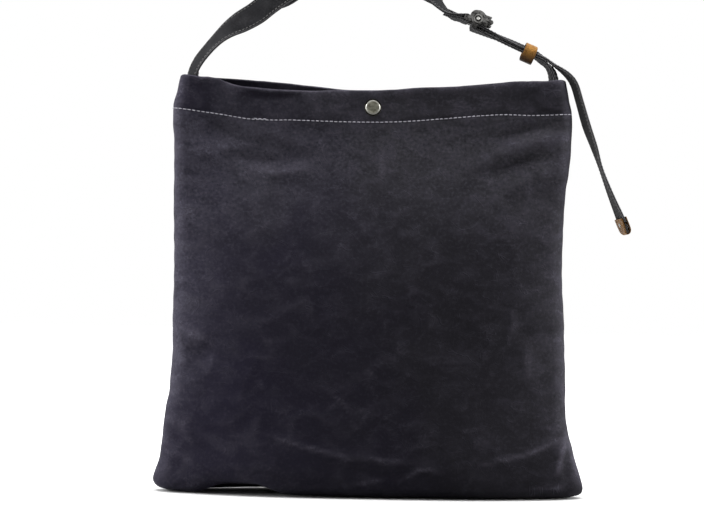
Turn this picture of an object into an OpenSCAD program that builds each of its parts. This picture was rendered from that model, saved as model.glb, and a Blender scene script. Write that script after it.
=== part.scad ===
// Canvas shoulder bag: an open-mouthed sack with a press stud, and a strap with a
// cam buckle, a leather keeper and a leather-tipped tail.
// Millimetres. +X is the wearer's right in the front view, +Y is the back, +Z is up.
// The origin is the middle of the base, on the surface that the bag stands on.

/* [Bag body] */
// Width of the sack at half its height
body_w = 359; // [290:1:440]
// Height of the mouth at the side seams
body_h = 386; // [320:1:470]
// Depth of the filled sack at its belly
body_d = 94; // [74:1:116]
// How far the mouth dips between the corners
mouth_dip = 13; // [0:1:18]
// How far each bottom corner stands out past half the body width
ear_out = 18.5; // [8:0.5:24]
// Thickness of the canvas
canvas_t = 1.6; // [1.2:0.1:2]
// Height of the hem turned in at the mouth
hem_h = 30; // [22:1:34]
// Thickness of the turned hem
hem_t = 1.4; // [1:0.1:1.8]
// Width of the seam allowances inside the sides
seam_w = 10; // [6:1:14]

/* [Press stud] */
// Diameter of the cap
cap_d = 15; // [12:0.5:18]
// Distance of the stud below the mouth edge
stud_drop = 16; // [14:0.5:17]
// Diameter of the stud's head
head_d = 4.8; // [4:0.2:6]

/* [Strap] */
// Width of the strap
strap_w = 25; // [20:1:32]
// Thickness of the strap
strap_t = 2.2; // [1.6:0.1:3]
// Distance from the side seam to the strap at each corner
strap_inset = 10; // [8:0.5:14]
// Roll of the doubled strap about its own length, in degrees
strap_roll = 8; // [0:1:12]

/* [Buckle] */
// Outer diameter of the hollow pin
pin_d = 3.5; // [2.8:0.1:4.2]
// Bore of the hollow pin
pin_bore = 2.2; // [1.6:0.1:2.4]
// Outer diameter of the hollow bar that holds the strap end
end_bar_d = 3; // [2.6:0.1:3.4]
// Bore of the hollow bar
end_bar_bore = 1.8; // [1.2:0.1:2]
// Diameter of the bar that the adjuster strap wraps
wrap_bar_d = 2; // [1.6:0.1:2.4]
// Thickness of the buckle's cheeks
cheek_t = 1.4; // [1:0.1:2]

/* [Leather] */
// Length of the keeper along the strap
keeper_l = 11.5; // [8:0.5:14]
// Thickness of the keeper's leather
keeper_t = 1.8; // [1.4:0.1:2.4]
// Length of the leather tip
tip_l = 17; // [14:0.5:20]
// Thickness of the tip's leather
tip_t = 1.6; // [1.2:0.1:2]

/* [Hidden] */
$fn = 48;

// Clearances
part_gap = 0.3;
layer_gap = 0.15;
running_fit = 0.06;
press_gap = 0.04;

// Colours
canvas_colour = [0.15, 0.14, 0.17];
hem_colour = [0.19, 0.18, 0.21];
strap_colour = [0.22, 0.22, 0.23];
leather_colour = [0.62, 0.38, 0.18];
metal_colour = [0.50, 0.49, 0.45];
gunmetal_colour = [0.28, 0.27, 0.27];

// Side outline: [height, distance outside half the body width]
ear_z = 12;
side_outline = [[0, ear_out - 12], [ear_z, ear_out], [24, ear_out - 3], [42, ear_out / 2],
                [72, ear_out / 3], [105, ear_out / 6], [135, 1], [body_h * 0.57, 0],
                [body_h - 103, 3], [body_h - 56, 4], [body_h - 33, 4.5], [body_h, -2.5]];

// Depths of the sack: the mouth closes to the stud's layers in the middle
mouth_end = 0.6 * strap_w + 1;
anchor_l = 38;
stud_room = 3.8;
mouth_mid = canvas_t + part_gap + hem_t + stud_room / 2;
belly_z = 40;
base_tuck = 14;
neck_z = body_h - mouth_dip - hem_h - 4;
end_depth = [[0, 8], [belly_z, 12], [body_h - 90, 12], [body_h - anchor_l - 4, mouth_end],
             [body_h, mouth_end]];

// Where the round ends of a cross-section begin, as a share of its half width
end_round = 25.13;
round_from = 1 - end_round / body_w;
corner_drop = 2.2;
seam_gap = 1.2;
columns = concat([for (a = [90, 60, 30]) -end_column(a)],
                 [for (i = [-6 : 6]) round_from * i / 6],
                 [for (a = [30, 60, 90]) end_column(a)]);
hem_end = 0.88;
hem_columns = concat([-hem_end], [for (i = [-5 : 5]) round_from * i / 6], [hem_end]);
body_levels = [0, 0.03, 0.06, 0.11, 0.2, 0.3, 0.4, 0.5, 0.6, 0.7, 0.8, 0.9];
hem_levels = [0, 0.35, 0.7, 1];
base_t = 1.8;
panel_z = base_t + part_gap;

function end_column(a) = round_from + (1 - round_from) * sin(a);
function half_w(z) = body_w / 2 + lookup(z, side_outline);
function rise(z) = min(1, max(0, (z - belly_z) / (neck_z - belly_z)));
function mid_depth(z) =
    mouth_mid + (body_d / 2 - mouth_mid) * (0.5 + 0.5 * cos(180 * pow(rise(z), 2)))
    - base_tuck * pow(max(0, 1 - z / belly_z), 2);
function round_end(s) =
    abs(s) <= round_from ? 1 : sqrt(max(0, 1 - pow((abs(s) - round_from) / (1 - round_from), 2)));
// Half depth of the sack at a share s of its half width, in from the outer face by inset.
// The belly is a lens. Near the mouth the stud draws the middle in from the deeper ends.
function depth(s, z, inset) =
    let (ends = lookup(z, end_depth))
    let (swell = mid_depth(z) - ends)
    (ends - inset + swell * (1 - pow(abs(s), swell > 0 ? 3 : 1.5))) * round_end(s);
function corner(s) = pow(max(0, abs(s) - round_from) / (1 - round_from), 3);
function mouth_z(s) = body_h - mouth_dip * (1 - pow(s, 4)) - corner_drop * corner(s);
function hem_z(s, f) = mouth_z(s) - hem_h * (1 - f);
function sheet_point(s, z, inset) =
    [(half_w(z) - inset) * s, -part_gap / 2 - depth(s, z, inset), z];

// Press stud layers, from the outside of the front to the inside of its hem
stud_z = body_h - mouth_dip - stud_drop;
front_y = -part_gap / 2 - mouth_mid;
hem_y = front_y + canvas_t + part_gap + hem_t;
cap_rise = 2.2;
cap_rim = 0.7;
barrel_d = 4;
barrel_gap = 0.3;
socket_d = 12.4;
socket_t = 2.6;
socket_floor = 0.8;
socket_bore = head_d + 1.8;
spring_wire = 0.6;
stud_base_d = 12;
stud_base_t = 0.8;
stud_seat = 0.2;
stud_reach = -2 * hem_y - 2 * stud_seat - socket_floor - part_gap;
post_d = 2.4;
post_grip = 1.5;

// Strap ends: each turns about the line through both corners, on a half-round end
anchor_x = half_w(body_h) - strap_inset;
swing_r = strap_w / 2;
swing_z = body_h + 0.6 + swing_r;
end_angles = [75, 57, 37, 0];

// Buckle: centres of its bars from the pin, and the pin's own place from the right corner
pin_at = [anchor_x - 72, body_h + 54];
end_bar_at = pin_at + [-10.4, 1];
hub_r = pin_d / 2 + 1.35;
lobe_r = 0.9;
lobe_out = hub_r - 0.55;
cam_gap = 0.355;
wrap_bar_reach = lobe_out + lobe_r + cam_gap + strap_t + layer_gap + wrap_bar_d / 2;
wrap_bar_at = pin_at + wrap_bar_reach * unit([-1, -2]);
guide_bar_at = pin_at + [11.8, -3.6];
guide_bar_d = 2.6;
cheek_y = strap_w / 2 + 0.6;
lever_y = cheek_y - 0.35;
shell_r = [6, 7.8];

// The doubled strap runs straight from the wrap bar to the keeper
band_deg = 22.6;
band_l = 56.4;
band_along = [cos(band_deg), 0, -sin(band_deg)];
band_up = [sin(band_deg), 0, cos(band_deg)];
wrap_r = wrap_bar_d / 2 + layer_gap + strap_t / 2;
pair_r = strap_t / 2 + layer_gap;
keeper_drop = 1.6;
keeper_room = 1;
upper_end = band_l + keeper_l / 2 + 1.2;
tail_start = upper_end + 0.8;
tip_overlap = 11;
rivet_d = 2.4;
rivet_head_d = 4.6;

function to3(p) = [p[0], 0, p[1]];
function unit(v) = v / norm(v);
function band_point(along, up) = to3(wrap_bar_at) + along * band_along + up * band_up;
// Distance of each layer from the middle of the band, closing from the bar to the keeper
function layer_up(along) = wrap_r + (pair_r - wrap_r) * min(1, along / band_l);
function rolled(deg) = [0, cos(deg), 0] + sin(deg) * band_up;

// A strap is a list of stations: [centre, direction of its width, half width]
function station(p, w) = [p, w, strap_w / 2];
// Places from the top corners, at a share f of the way back to the strap's second run
run_y = strap_w + 3;
function left(x, f, z) = [-anchor_x + x, f * run_y, body_h + z];
function right(x, f, z) = [anchor_x + x, f * run_y, body_h + z];
function behind(x, y, z) = [x, body_d / 2 + strap_w / 2 - 3.5 + y, body_h + z];
// Half-round end that starts at height body_h and leans sideways by lean per unit of height
function swing_end(x, lean) =
    [for (a = end_angles)
        let (z = swing_z - swing_r * sin(a))
        [[x + lean * (z - body_h), 0, z], [0, 1, 0], max(1, swing_r * cos(a))]];

across = [0, 1, 0];
end_wrap_r = end_bar_d / 2 + layer_gap + strap_t / 2;
end_wrap = [for (a = [105 : -35 : -105])
    station(to3(end_bar_at) + end_wrap_r * [cos(a), 0, sin(a)], across)];

// The long strap rises from the left corner, bends over, drops behind itself and hangs in a
// wide loop across the back, then climbs behind the adjuster strap, bends over and meets
// the buckle from above
rise_left = [
    station(left(15, 0, 25), [-0.25, 0.95, 0.2]), station(left(24, 0, 34), [-0.4, 0.85, 0.4]),
    station(left(33, 0, 42), [-0.5, 0.7, 0.55]), station(left(44, 0, 49), [-0.5, 0.55, 0.65]),
    station(left(57, 0, 57), [-0.55, 0.45, 0.7]), station(left(68, 0.04, 66), [-0.6, 0.35, 0.7])];
bend_left = [
    station(left(80, 0.1, 76), [-0.63, 0.2, 0.77]), station(left(90, 0.29, 84), [-0.63, 0, 0.77]),
    station(left(93, 0.54, 86.5), [-0.63, 0, 0.77]), station(left(90, 0.79, 84), [-0.63, 0, 0.77]),
    station(left(80, 0.96, 76.5), [-0.6, 0.4, 0.7]), station(left(69, 1, 68), [-0.4, 0.8, 0.45])];
drop_left = [
    station(left(57, 1, 58.5), [-0.2, 0.95, 0.2]), station(left(44, 1, 51), across),
    station(left(33, 1, 44), across), station(left(24, 1, 36.5), across),
    station(left(13, 1, 27), across), station(left(4, 1, 15), across),
    station(left(1, 1.02, 5), across), station(left(2, 1.04, -10), across)];
loop_half = [[0.97, -20, -36], [0.92, -16, -76], [0.8, -10, -118], [0.6, -4, -156], [0.3, 2, -188]];
loop_left = [for (p = loop_half) station(behind(-anchor_x * p[0], p[1], p[2]), across)];
loop_right = [for (i = [len(loop_half) - 1 : -1 : 0])
    let (p = loop_half[i]) station(behind(anchor_x * p[0], p[1], p[2]), across)];
climb_right = [
    for (p = [[-2, -10], [0, 4], [-3, 14.5], [-9, 19.5], [-17, 25.5], [-29, 31], [-46, 39],
              [-63, 47], [-75, 54], [-87, 60], [-97, 64.5]])
    station(right(p[0], 1, p[1]), across)];
bend_right = [
    station(right(-105, 1, 71), [0.23, 0.95, 0.2]), station(right(-112, 1, 79), [0.5, 0.7, 0.45]),
    station(right(-118, 0.96, 86), [0.7, 0.35, 0.6]), station(right(-123, 0.79, 92), [0.75, 0, 0.66]),
    station(right(-125, 0.5, 94), [0.75, 0, 0.66]), station(right(-123, 0.21, 92), [0.75, 0.1, 0.66]),
    station(right(-118, 0.05, 83), [0.6, 0.5, 0.5]), station(right(-110, 0, 71), [0.25, 0.95, 0.2]),
    station(right(-102, 0, 62), across)];

long_stations = concat(
    swing_end(-anchor_x, 0.42), rise_left, bend_left, drop_left, loop_left,
    [station(behind(0, 4, -198), across)], loop_right, climb_right, bend_right, end_wrap,
    [station(to3(end_bar_at) + [-8, 0, -1.2], across),
     station(to3(end_bar_at) + [-17, 0, 2.8], across)]);

lower_layer = [for (along = [upper_end, 40, 16])
    station(band_point(along, -layer_up(along)), rolled(strap_roll))];
upper_layer = [for (along = [16, 40, upper_end])
    station(band_point(along, layer_up(along)), rolled(strap_roll))];
adjuster_wrap = [for (a = [270 : -30 : 90])
    station(to3(wrap_bar_at) + wrap_r * [cos(a - band_deg), 0, sin(a - band_deg)], across)];

adjuster_stations = concat(
    swing_end(anchor_x + 1, -0.6),
    [station(right(-11.5, 0, 17), rolled(strap_roll / 2))],
    lower_layer, adjuster_wrap, upper_layer);

// The tail hangs over the corner and clear of the side
tail_points = [[-7, 19.5], [1, 14.8], [13.5, 6], [21, -3.5], [25, -20], [31.5, -42],
               [39, -62], [45.5, -81], [54, -103], [64, -127]];
tail_end = right(tail_points[9][0], 0, tail_points[9][1]);
tail_along = unit(tail_end - right(tail_points[8][0], 0, tail_points[8][1]));
tail_out = [-tail_along[2], 0, tail_along[0]];
tail_w = across * cos(strap_roll) + tail_out * sin(strap_roll);
tail_stations = concat(
    [station(band_point(tail_start, layer_up(tail_start)), rolled(strap_roll))],
    [for (p = tail_points) station(right(p[0], 0, p[1]), tail_w)],
    [station(tail_end + tip_overlap * tail_along, tail_w)]);
tail_deg = atan2(-tail_along[2], tail_along[0]);

// A thin sheet between two insets from the sack's outer face
module sheet(shares, levels, insets) {
    cols = len(shares);
    rows = len(levels);
    function at(layer, k, j) = (layer * rows + k) * cols + j;
    points = [for (layer = [0, 1], k = [0 : rows - 1], j = [0 : cols - 1])
        sheet_point(shares[j], levels[k][j], insets[layer])];
    skin = [for (k = [0 : rows - 2], j = [0 : cols - 2], tri = [0, 1])
        tri == 0 ? [at(0, k, j), at(0, k + 1, j), at(0, k + 1, j + 1)]
                 : [at(0, k, j), at(0, k + 1, j + 1), at(0, k, j + 1)]];
    lining = [for (k = [0 : rows - 2], j = [0 : cols - 2], tri = [0, 1])
        tri == 0 ? [at(1, k, j), at(1, k + 1, j + 1), at(1, k + 1, j)]
                 : [at(1, k, j), at(1, k, j + 1), at(1, k + 1, j + 1)]];
    edges = concat(
        [for (j = [0 : cols - 2]) [at(0, 0, j), at(0, 0, j + 1), at(1, 0, j + 1), at(1, 0, j)]],
        [for (j = [0 : cols - 2]) [at(0, rows - 1, j + 1), at(0, rows - 1, j),
                                   at(1, rows - 1, j), at(1, rows - 1, j + 1)]],
        [for (k = [0 : rows - 2]) [at(0, k + 1, 0), at(0, k, 0), at(1, k, 0), at(1, k + 1, 0)]],
        [for (k = [0 : rows - 2]) [at(0, k, cols - 1), at(0, k + 1, cols - 1),
                                   at(1, k + 1, cols - 1), at(1, k, cols - 1)]]);
    rim = [for (q = edges, tri = [0, 1]) tri == 0 ? [q[0], q[1], q[2]] : [q[0], q[2], q[3]]];
    polyhedron(points = points, faces = concat(skin, lining, rim), convexity = 6);
}

// A flat strap swept along its stations
module ribbon(stations) {
    last = len(stations) - 1;
    function along(i) = unit(stations[min(i + 1, last)][0] - stations[max(i - 1, 0)][0]);
    function ring(i) =
        let (t = along(i))
        let (w = unit(stations[i][1] - (stations[i][1] * t) * t))
        let (n = cross(t, w) * strap_t / 2)
        let (h = w * stations[i][2])
        let (p = stations[i][0])
        [p + h + n, p - h + n, p - h - n, p + h - n];
    points = [for (i = [0 : last], p = ring(i)) p];
    sides = [for (i = [0 : last - 1], k = [0 : 3], tri = [0, 1])
        let (a = i * 4 + k)
        let (b = i * 4 + (k + 1) % 4)
        tri == 0 ? [a, b + 4, b] : [a, a + 4, b + 4]];
    z = last * 4;
    ends = [[0, 1, 2], [0, 2, 3], [z + 3, z + 2, z + 1], [z + 3, z + 1, z]];
    polyhedron(points = points, faces = concat(sides, ends), convexity = 10);
}

// Places a turned piece on the press stud's axis, its own +Z towards the back
module on_stud(y) {
    translate([0, y, stud_z]) rotate([-90, 0, 0]) children();
}

// A side profile extruded across the strap, centred on y = 0
module profile(width) {
    translate([0, width / 2, 0]) rotate([90, 0, 0]) linear_extrude(width) children();
}

// A round bar across the strap
module cross_bar(at, d, length) {
    translate([at[0], length / 2, at[1]]) rotate([90, 0, 0]) cylinder(d = d, h = length);
}

// A flat link with round ends between two points
module link(p, q, r) {
    span = q - p;
    translate(p) circle(r);
    translate(q) circle(r);
    translate(p) rotate(atan2(span[1], span[0])) translate([0, -r]) square([norm(span), 2 * r]);
}

module panel() {
    body = [for (f = body_levels) [for (s = columns) panel_z + (hem_z(s, 0) - panel_z) * f]];
    top = [for (f = hem_levels) [for (s = columns) hem_z(s, f)]];
    sheet(columns, concat(body, top), [0, canvas_t]);
}

module hem() {
    levels = [for (f = hem_levels) [for (s = hem_columns) hem_z(s, f)]];
    sheet(hem_columns, levels, [canvas_t + part_gap, canvas_t + part_gap + hem_t]);
}

module front_panel() {
    color(canvas_colour) difference() {
        panel();
        on_stud(front_y - 2) cylinder(d = barrel_d + 2 * barrel_gap, h = canvas_t + 3);
    }
}

module back_panel() {
    color(canvas_colour) difference() {
        mirror([0, 1, 0]) panel();
        on_stud(-front_y - canvas_t - 1) cylinder(d = post_d + 2 * barrel_gap, h = canvas_t + 3);
    }
}

module base_panel() {
    rim = [for (s = columns) [half_w(0) * s, -depth(s, 0, 0)]];
    color(canvas_colour) linear_extrude(base_t)
        polygon(concat(rim, [for (i = [len(rim) - 2 : -1 : 1]) [rim[i][0], -rim[i][1]]]));
}

module front_hem() {
    color(hem_colour) difference() {
        hem();
        on_stud(front_y) cylinder(d = barrel_d + 2 * barrel_gap, h = 8);
    }
}

module back_hem() {
    color(hem_colour) difference() {
        mirror([0, 1, 0]) hem();
        on_stud(0) cylinder(d = post_d + 2 * barrel_gap, h = 8);
    }
}

// A seam allowance stands in from the side seam and follows the side's outline
module side_seam() {
    heights = [36, 50, 72, 105, 135, body_h * 0.57, body_h - 103, body_h - 56, body_h - 44];
    outer = [for (z = heights) [half_w(z) - canvas_t - seam_gap, z]];
    inner = [for (i = [len(outer) - 1 : -1 : 0]) outer[i] - [seam_w, 0]];
    profile(1.6) polygon(concat(outer, inner));
}

module side_seam_left() {
    color(hem_colour) mirror([1, 0, 0]) side_seam();
}

module side_seam_right() {
    color(hem_colour) side_seam();
}

// Dome over a flat rim, with a barrel that goes through the canvas and into the socket
module snap_cap() {
    dome_r = (pow(cap_d / 2, 2) + pow(cap_rise, 2)) / (2 * cap_rise);
    barrel_l = hem_y + socket_floor + stud_seat - front_y;
    color(metal_colour) on_stud(front_y - stud_seat) {
        rotate([180, 0, 0]) {
            cylinder(d = cap_d, h = cap_rim);
            rotate_extrude() intersection() {
                translate([0, cap_rim + cap_rise - dome_r]) circle(dome_r);
                translate([0, cap_rim - 0.1]) square([cap_d / 2, cap_rise + 1]);
            }
        }
        cylinder(d = barrel_d, h = barrel_l);
    }
}

module snap_socket() {
    color(metal_colour) on_stud(hem_y + stud_seat) difference() {
        cylinder(d = socket_d, h = socket_t);
        translate([0, 0, -1]) cylinder(d = barrel_d + 2 * press_gap, h = socket_t + 2);
        translate([0, 0, socket_floor]) cylinder(d = socket_bore, h = socket_t);
        translate([0, 0, socket_floor + 0.4]) cylinder(d = socket_bore + 1, h = spring_wire + 0.3);
    }
}

module snap_spring() {
    color(metal_colour) on_stud(hem_y + stud_seat + socket_floor + 0.55 + spring_wire / 2)
        rotate_extrude() translate([socket_bore / 2 + 0.1, 0]) circle(spring_wire / 2);
}

// Base plate on the back hem, with a necked head that reaches into the socket
module snap_stud() {
    neck_l = stud_reach - stud_base_t - head_d / 4;
    color(metal_colour) on_stud(-hem_y - stud_seat) rotate([180, 0, 0]) difference() {
        union() {
            cylinder(d = stud_base_d, h = stud_base_t);
            cylinder(d = head_d - 1, h = stud_base_t + neck_l);
            translate([0, 0, stud_base_t + neck_l]) intersection() {
                sphere(d = head_d);
                translate([0, 0, -head_d / 4]) cylinder(d = head_d + 1, h = head_d / 2);
            }
        }
        translate([0, 0, -1]) cylinder(d = post_d + 2 * press_gap, h = 1 + post_grip + 0.1);
    }
}

module snap_post() {
    post_l = hem_y - front_y + 2 * stud_seat + post_grip;
    color(metal_colour) on_stud(-front_y + stud_seat) {
        cylinder(d = stud_base_d, h = stud_base_t);
        translate([0, 0, -post_l]) cylinder(d = post_d, h = post_l + stud_base_t / 2);
    }
}

// A sewn-in strap end: a flat tab inside the top corner
module strap_anchor() {
    color(strap_colour) translate([anchor_x - strap_t / 2, -strap_w / 2, body_h - anchor_l])
        cube([strap_t, strap_w, anchor_l]);
}

module strap_anchor_left() {
    mirror([1, 0, 0]) strap_anchor();
}

module strap_anchor_right() {
    strap_anchor();
}

module shoulder_strap() {
    color(strap_colour) ribbon(long_stations);
}

module adjuster_strap() {
    color(strap_colour) ribbon(adjuster_stations);
}

module cheek() {
    difference() {
        union() {
            translate(pin_at) circle(5.2);
            translate(pin_at + [-1.5, 2]) circle(5.8);
            link(pin_at, end_bar_at, 2.6);
            link(pin_at, wrap_bar_at, 2.4);
            link(pin_at, guide_bar_at, 2.2);
        }
        translate(pin_at) circle(d = pin_d + 2 * press_gap);
        translate(end_bar_at) circle(d = end_bar_d + 2 * press_gap);
    }
}

module buckle_frame() {
    color(gunmetal_colour) {
        for (side = [-1, 1])
            translate([0, side * (cheek_y + cheek_t / 2), 0]) profile(cheek_t) cheek();
        cross_bar(wrap_bar_at, wrap_bar_d, 2 * cheek_y + cheek_t);
        cross_bar(guide_bar_at, guide_bar_d, 2 * cheek_y + cheek_t);
    }
}

// A hollow bar with a rolled-over rim outside each cheek
module hollow_bar(at, d, bore) {
    rim_t = 0.7;
    rim_y = cheek_y + cheek_t + 0.05;
    difference() {
        union() {
            cross_bar(at, d, 2 * rim_y + 2 * rim_t);
            for (side = [-1, 1])
                translate([0, side * (rim_y + rim_t / 2), 0]) cross_bar(at, d + 1.6, rim_t);
        }
        cross_bar(at, bore, 2 * rim_y + 4 * rim_t);
    }
}

module buckle_pin() {
    color(gunmetal_colour) hollow_bar(pin_at, pin_d, pin_bore);
}

module end_bar() {
    color(gunmetal_colour) hollow_bar(end_bar_at, end_bar_d, end_bar_bore);
}

// Cam lever: a hub on the pin, a curved cover and a lip to lift it by
module buckle_lever() {
    cover = [20, 95];
    lobe = unit(wrap_bar_at - pin_at) * lobe_out;
    color(gunmetal_colour) profile(2 * lever_y) translate(pin_at) difference() {
        union() {
            circle(hub_r);
            translate(lobe) circle(lobe_r);
            intersection() {
                difference() {
                    circle(shell_r[1]);
                    circle(shell_r[0]);
                }
                polygon(concat([[0, 0]], [for (a = [cover[0] : 15 : cover[1]]) 12 * [cos(a), sin(a)]]));
            }
            link([1, 2.5], [1.6, 6.8], 1);
            link([6.25, 2.9], [12.1, 0.9], 0.75);
        }
        circle(d = pin_d + 2 * running_fit);
    }
}

// A loose leather loop round both layers
module strap_keeper() {
    inner_w = strap_w + 2 * keeper_room;
    inner_top = wrap_r + strap_t / 2 + 0.2;
    inner_h = inner_top + pair_r + strap_t + 2 * keeper_drop;
    corner = 1.5;
    color(leather_colour) translate(band_point(band_l, 0)) rotate([0, band_deg, 0])
        rotate([strap_roll, 0, 0]) translate([-keeper_l / 2, 0, inner_top - inner_h / 2])
        rotate([90, 0, 90]) linear_extrude(keeper_l) difference() {
            round_box(inner_w + 2 * keeper_t, inner_h + 2 * keeper_t, corner + keeper_t);
            round_box(inner_w, inner_h, corner);
        }
}

module round_box(w, h, r) {
    square([w - 2 * r, h], center = true);
    square([w, h - 2 * r], center = true);
    for (x = [-1, 1], y = [-1, 1]) translate([x * (w / 2 - r), y * (h / 2 - r)]) circle(r);
}

// Places a piece at the end of the tail, its own +X along the tail and +Z outwards
module on_tail() {
    translate(tail_end) rotate([0, tail_deg, 0]) rotate([strap_roll, 0, 0]) children();
}

module rivet_hole() {
    on_tail() translate([tip_overlap / 2, 0, -10]) cylinder(d = rivet_d + 2 * press_gap, h = 20);
}

module strap_tail() {
    color(strap_colour) difference() {
        ribbon(tail_stations);
        rivet_hole();
    }
}

// Leather folded over the end of the tail
module strap_tip() {
    slot = strap_t + 2 * layer_gap;
    outer = slot + 2 * tip_t;
    color(leather_colour) difference() {
        on_tail() profile(strap_w) difference() {
            union() {
                translate([0, -outer / 2]) square([tip_l - outer / 2, outer]);
                translate([tip_l - outer / 2, 0]) circle(d = outer);
            }
            translate([-1, -slot / 2]) square([tip_overlap + 1.4, slot]);
        }
        rivet_hole();
    }
}

module tip_rivet() {
    reach = strap_t / 2 + layer_gap + tip_t + 0.05;
    color(metal_colour) on_tail() translate([tip_overlap / 2, 0, 0]) {
        translate([0, 0, -reach - 0.5]) cylinder(d = rivet_d, h = 2 * reach + 1);
        for (side = [0, 180]) rotate([side, 0, 0]) translate([0, 0, reach])
            cylinder(d1 = rivet_head_d, d2 = rivet_head_d - 1.4, h = 0.9);
    }
}

front_panel();
back_panel();
base_panel();
front_hem();
back_hem();
side_seam_left();
side_seam_right();
snap_cap();
snap_socket();
snap_spring();
snap_stud();
snap_post();
strap_anchor_left();
strap_anchor_right();
shoulder_strap();
adjuster_strap();
buckle_frame();
buckle_pin();
end_bar();
buckle_lever();
strap_keeper();
strap_tail();
strap_tip();
tip_rivet();
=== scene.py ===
"""Canvas shoulder bag with a buckled strap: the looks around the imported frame.

Shapes are worked out in millimetres and written to meshes in metres, in the frame's own axes.
"""

import math

import bpy
import numpy as np
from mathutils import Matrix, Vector, noise


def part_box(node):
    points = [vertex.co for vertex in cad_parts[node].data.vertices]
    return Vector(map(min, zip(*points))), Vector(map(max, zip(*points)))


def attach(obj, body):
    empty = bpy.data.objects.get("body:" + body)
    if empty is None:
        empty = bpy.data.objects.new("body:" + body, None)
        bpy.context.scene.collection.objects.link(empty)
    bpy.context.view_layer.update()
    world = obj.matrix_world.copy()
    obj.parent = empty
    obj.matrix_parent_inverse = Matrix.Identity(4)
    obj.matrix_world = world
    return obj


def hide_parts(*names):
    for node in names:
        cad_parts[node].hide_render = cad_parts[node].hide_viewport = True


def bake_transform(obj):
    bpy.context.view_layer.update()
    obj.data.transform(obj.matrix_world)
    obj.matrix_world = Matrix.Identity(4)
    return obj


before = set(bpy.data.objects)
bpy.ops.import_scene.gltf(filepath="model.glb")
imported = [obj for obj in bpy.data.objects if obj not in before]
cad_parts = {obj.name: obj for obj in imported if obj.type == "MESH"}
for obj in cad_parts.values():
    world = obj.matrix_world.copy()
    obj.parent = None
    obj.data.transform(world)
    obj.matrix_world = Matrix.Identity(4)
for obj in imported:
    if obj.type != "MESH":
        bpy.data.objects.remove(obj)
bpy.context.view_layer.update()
scene = bpy.context.scene
MM = 0.001
UP = np.array([0.0, 0.0, 1.0])
BACK_WAY = np.array([0.0, 1.0, 0.0])

# Camera: the photograph's place, lens and slight roll

camera = bpy.data.objects.new("camera", bpy.data.cameras.new("camera"))
camera.data.lens = 99.5
camera.data.sensor_width = 36
camera.location = (-0.01665, -1.8, 0.2188)
camera.rotation_euler = (math.radians(90), math.radians(-1.1), 0)
scene.collection.objects.link(camera)
scene.camera = camera


# Numbers and curves


def ease(t):
    """0 to 1 with a soft start and end."""
    t = np.clip(t, 0, 1)
    return t * t * (3 - 2 * t)


def through(points, t):
    """A smooth curve through (t, value) points, level past its ends."""
    at, value = np.array(points, float).T
    slope = np.gradient(value, at)
    t = np.clip(t, at[0], at[-1])
    i = np.clip(np.searchsorted(at, t) - 1, 0, len(at) - 2)
    span = at[i + 1] - at[i]
    s = (t - at[i]) / span
    return (
        value[i] * (1 + 2 * s) * (1 - s) ** 2
        + slope[i] * span * s * (1 - s) ** 2
        + value[i + 1] * s * s * (3 - 2 * s)
        + slope[i + 1] * span * s * s * (s - 1)
    )


def rough(x, z, size, seed, octaves):
    """Soft noise about 0 over the cloth, its largest lumps about size across."""
    total = np.zeros(x.size)
    share = 1.0
    for _ in range(octaves):
        total += share * np.array(
            [noise.noise((a / size, b / size, seed)) for a, b in zip(x.ravel(), z.ravel())]
        )
        size, share, seed = size / 2, share / 2, seed + 7.3
    return total.reshape(x.shape)


def lengths(points):
    """Steps between the points of a line, and the length so far at each point."""
    steps = np.linalg.norm(np.diff(points, axis=0), axis=1)
    return steps, np.concatenate([[0], np.cumsum(steps)])


def along_path(x, z, path):
    """Distance of each place from a path, and the share of the path's length where it is nearest."""
    points = np.array(path, float)
    steps, length = lengths(points)
    best = np.full(x.shape, 1e9)
    share = np.zeros(x.shape)
    for i, step in enumerate(steps):
        dx, dz = (points[i + 1] - points[i]) / step
        t = np.clip((x - points[i, 0]) * dx + (z - points[i, 1]) * dz, 0, step)
        gap = np.hypot(x - points[i, 0] - t * dx, z - points[i, 1] - t * dz)
        nearer = gap < best
        best = np.where(nearer, gap, best)
        share = np.where(nearer, (length[i] + t) / length[-1], share)
    return best, share


def unit(v):
    """Vectors made one long."""
    return v / np.maximum(np.linalg.norm(v, axis=-1, keepdims=True), 1e-9)


# Materials


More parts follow.
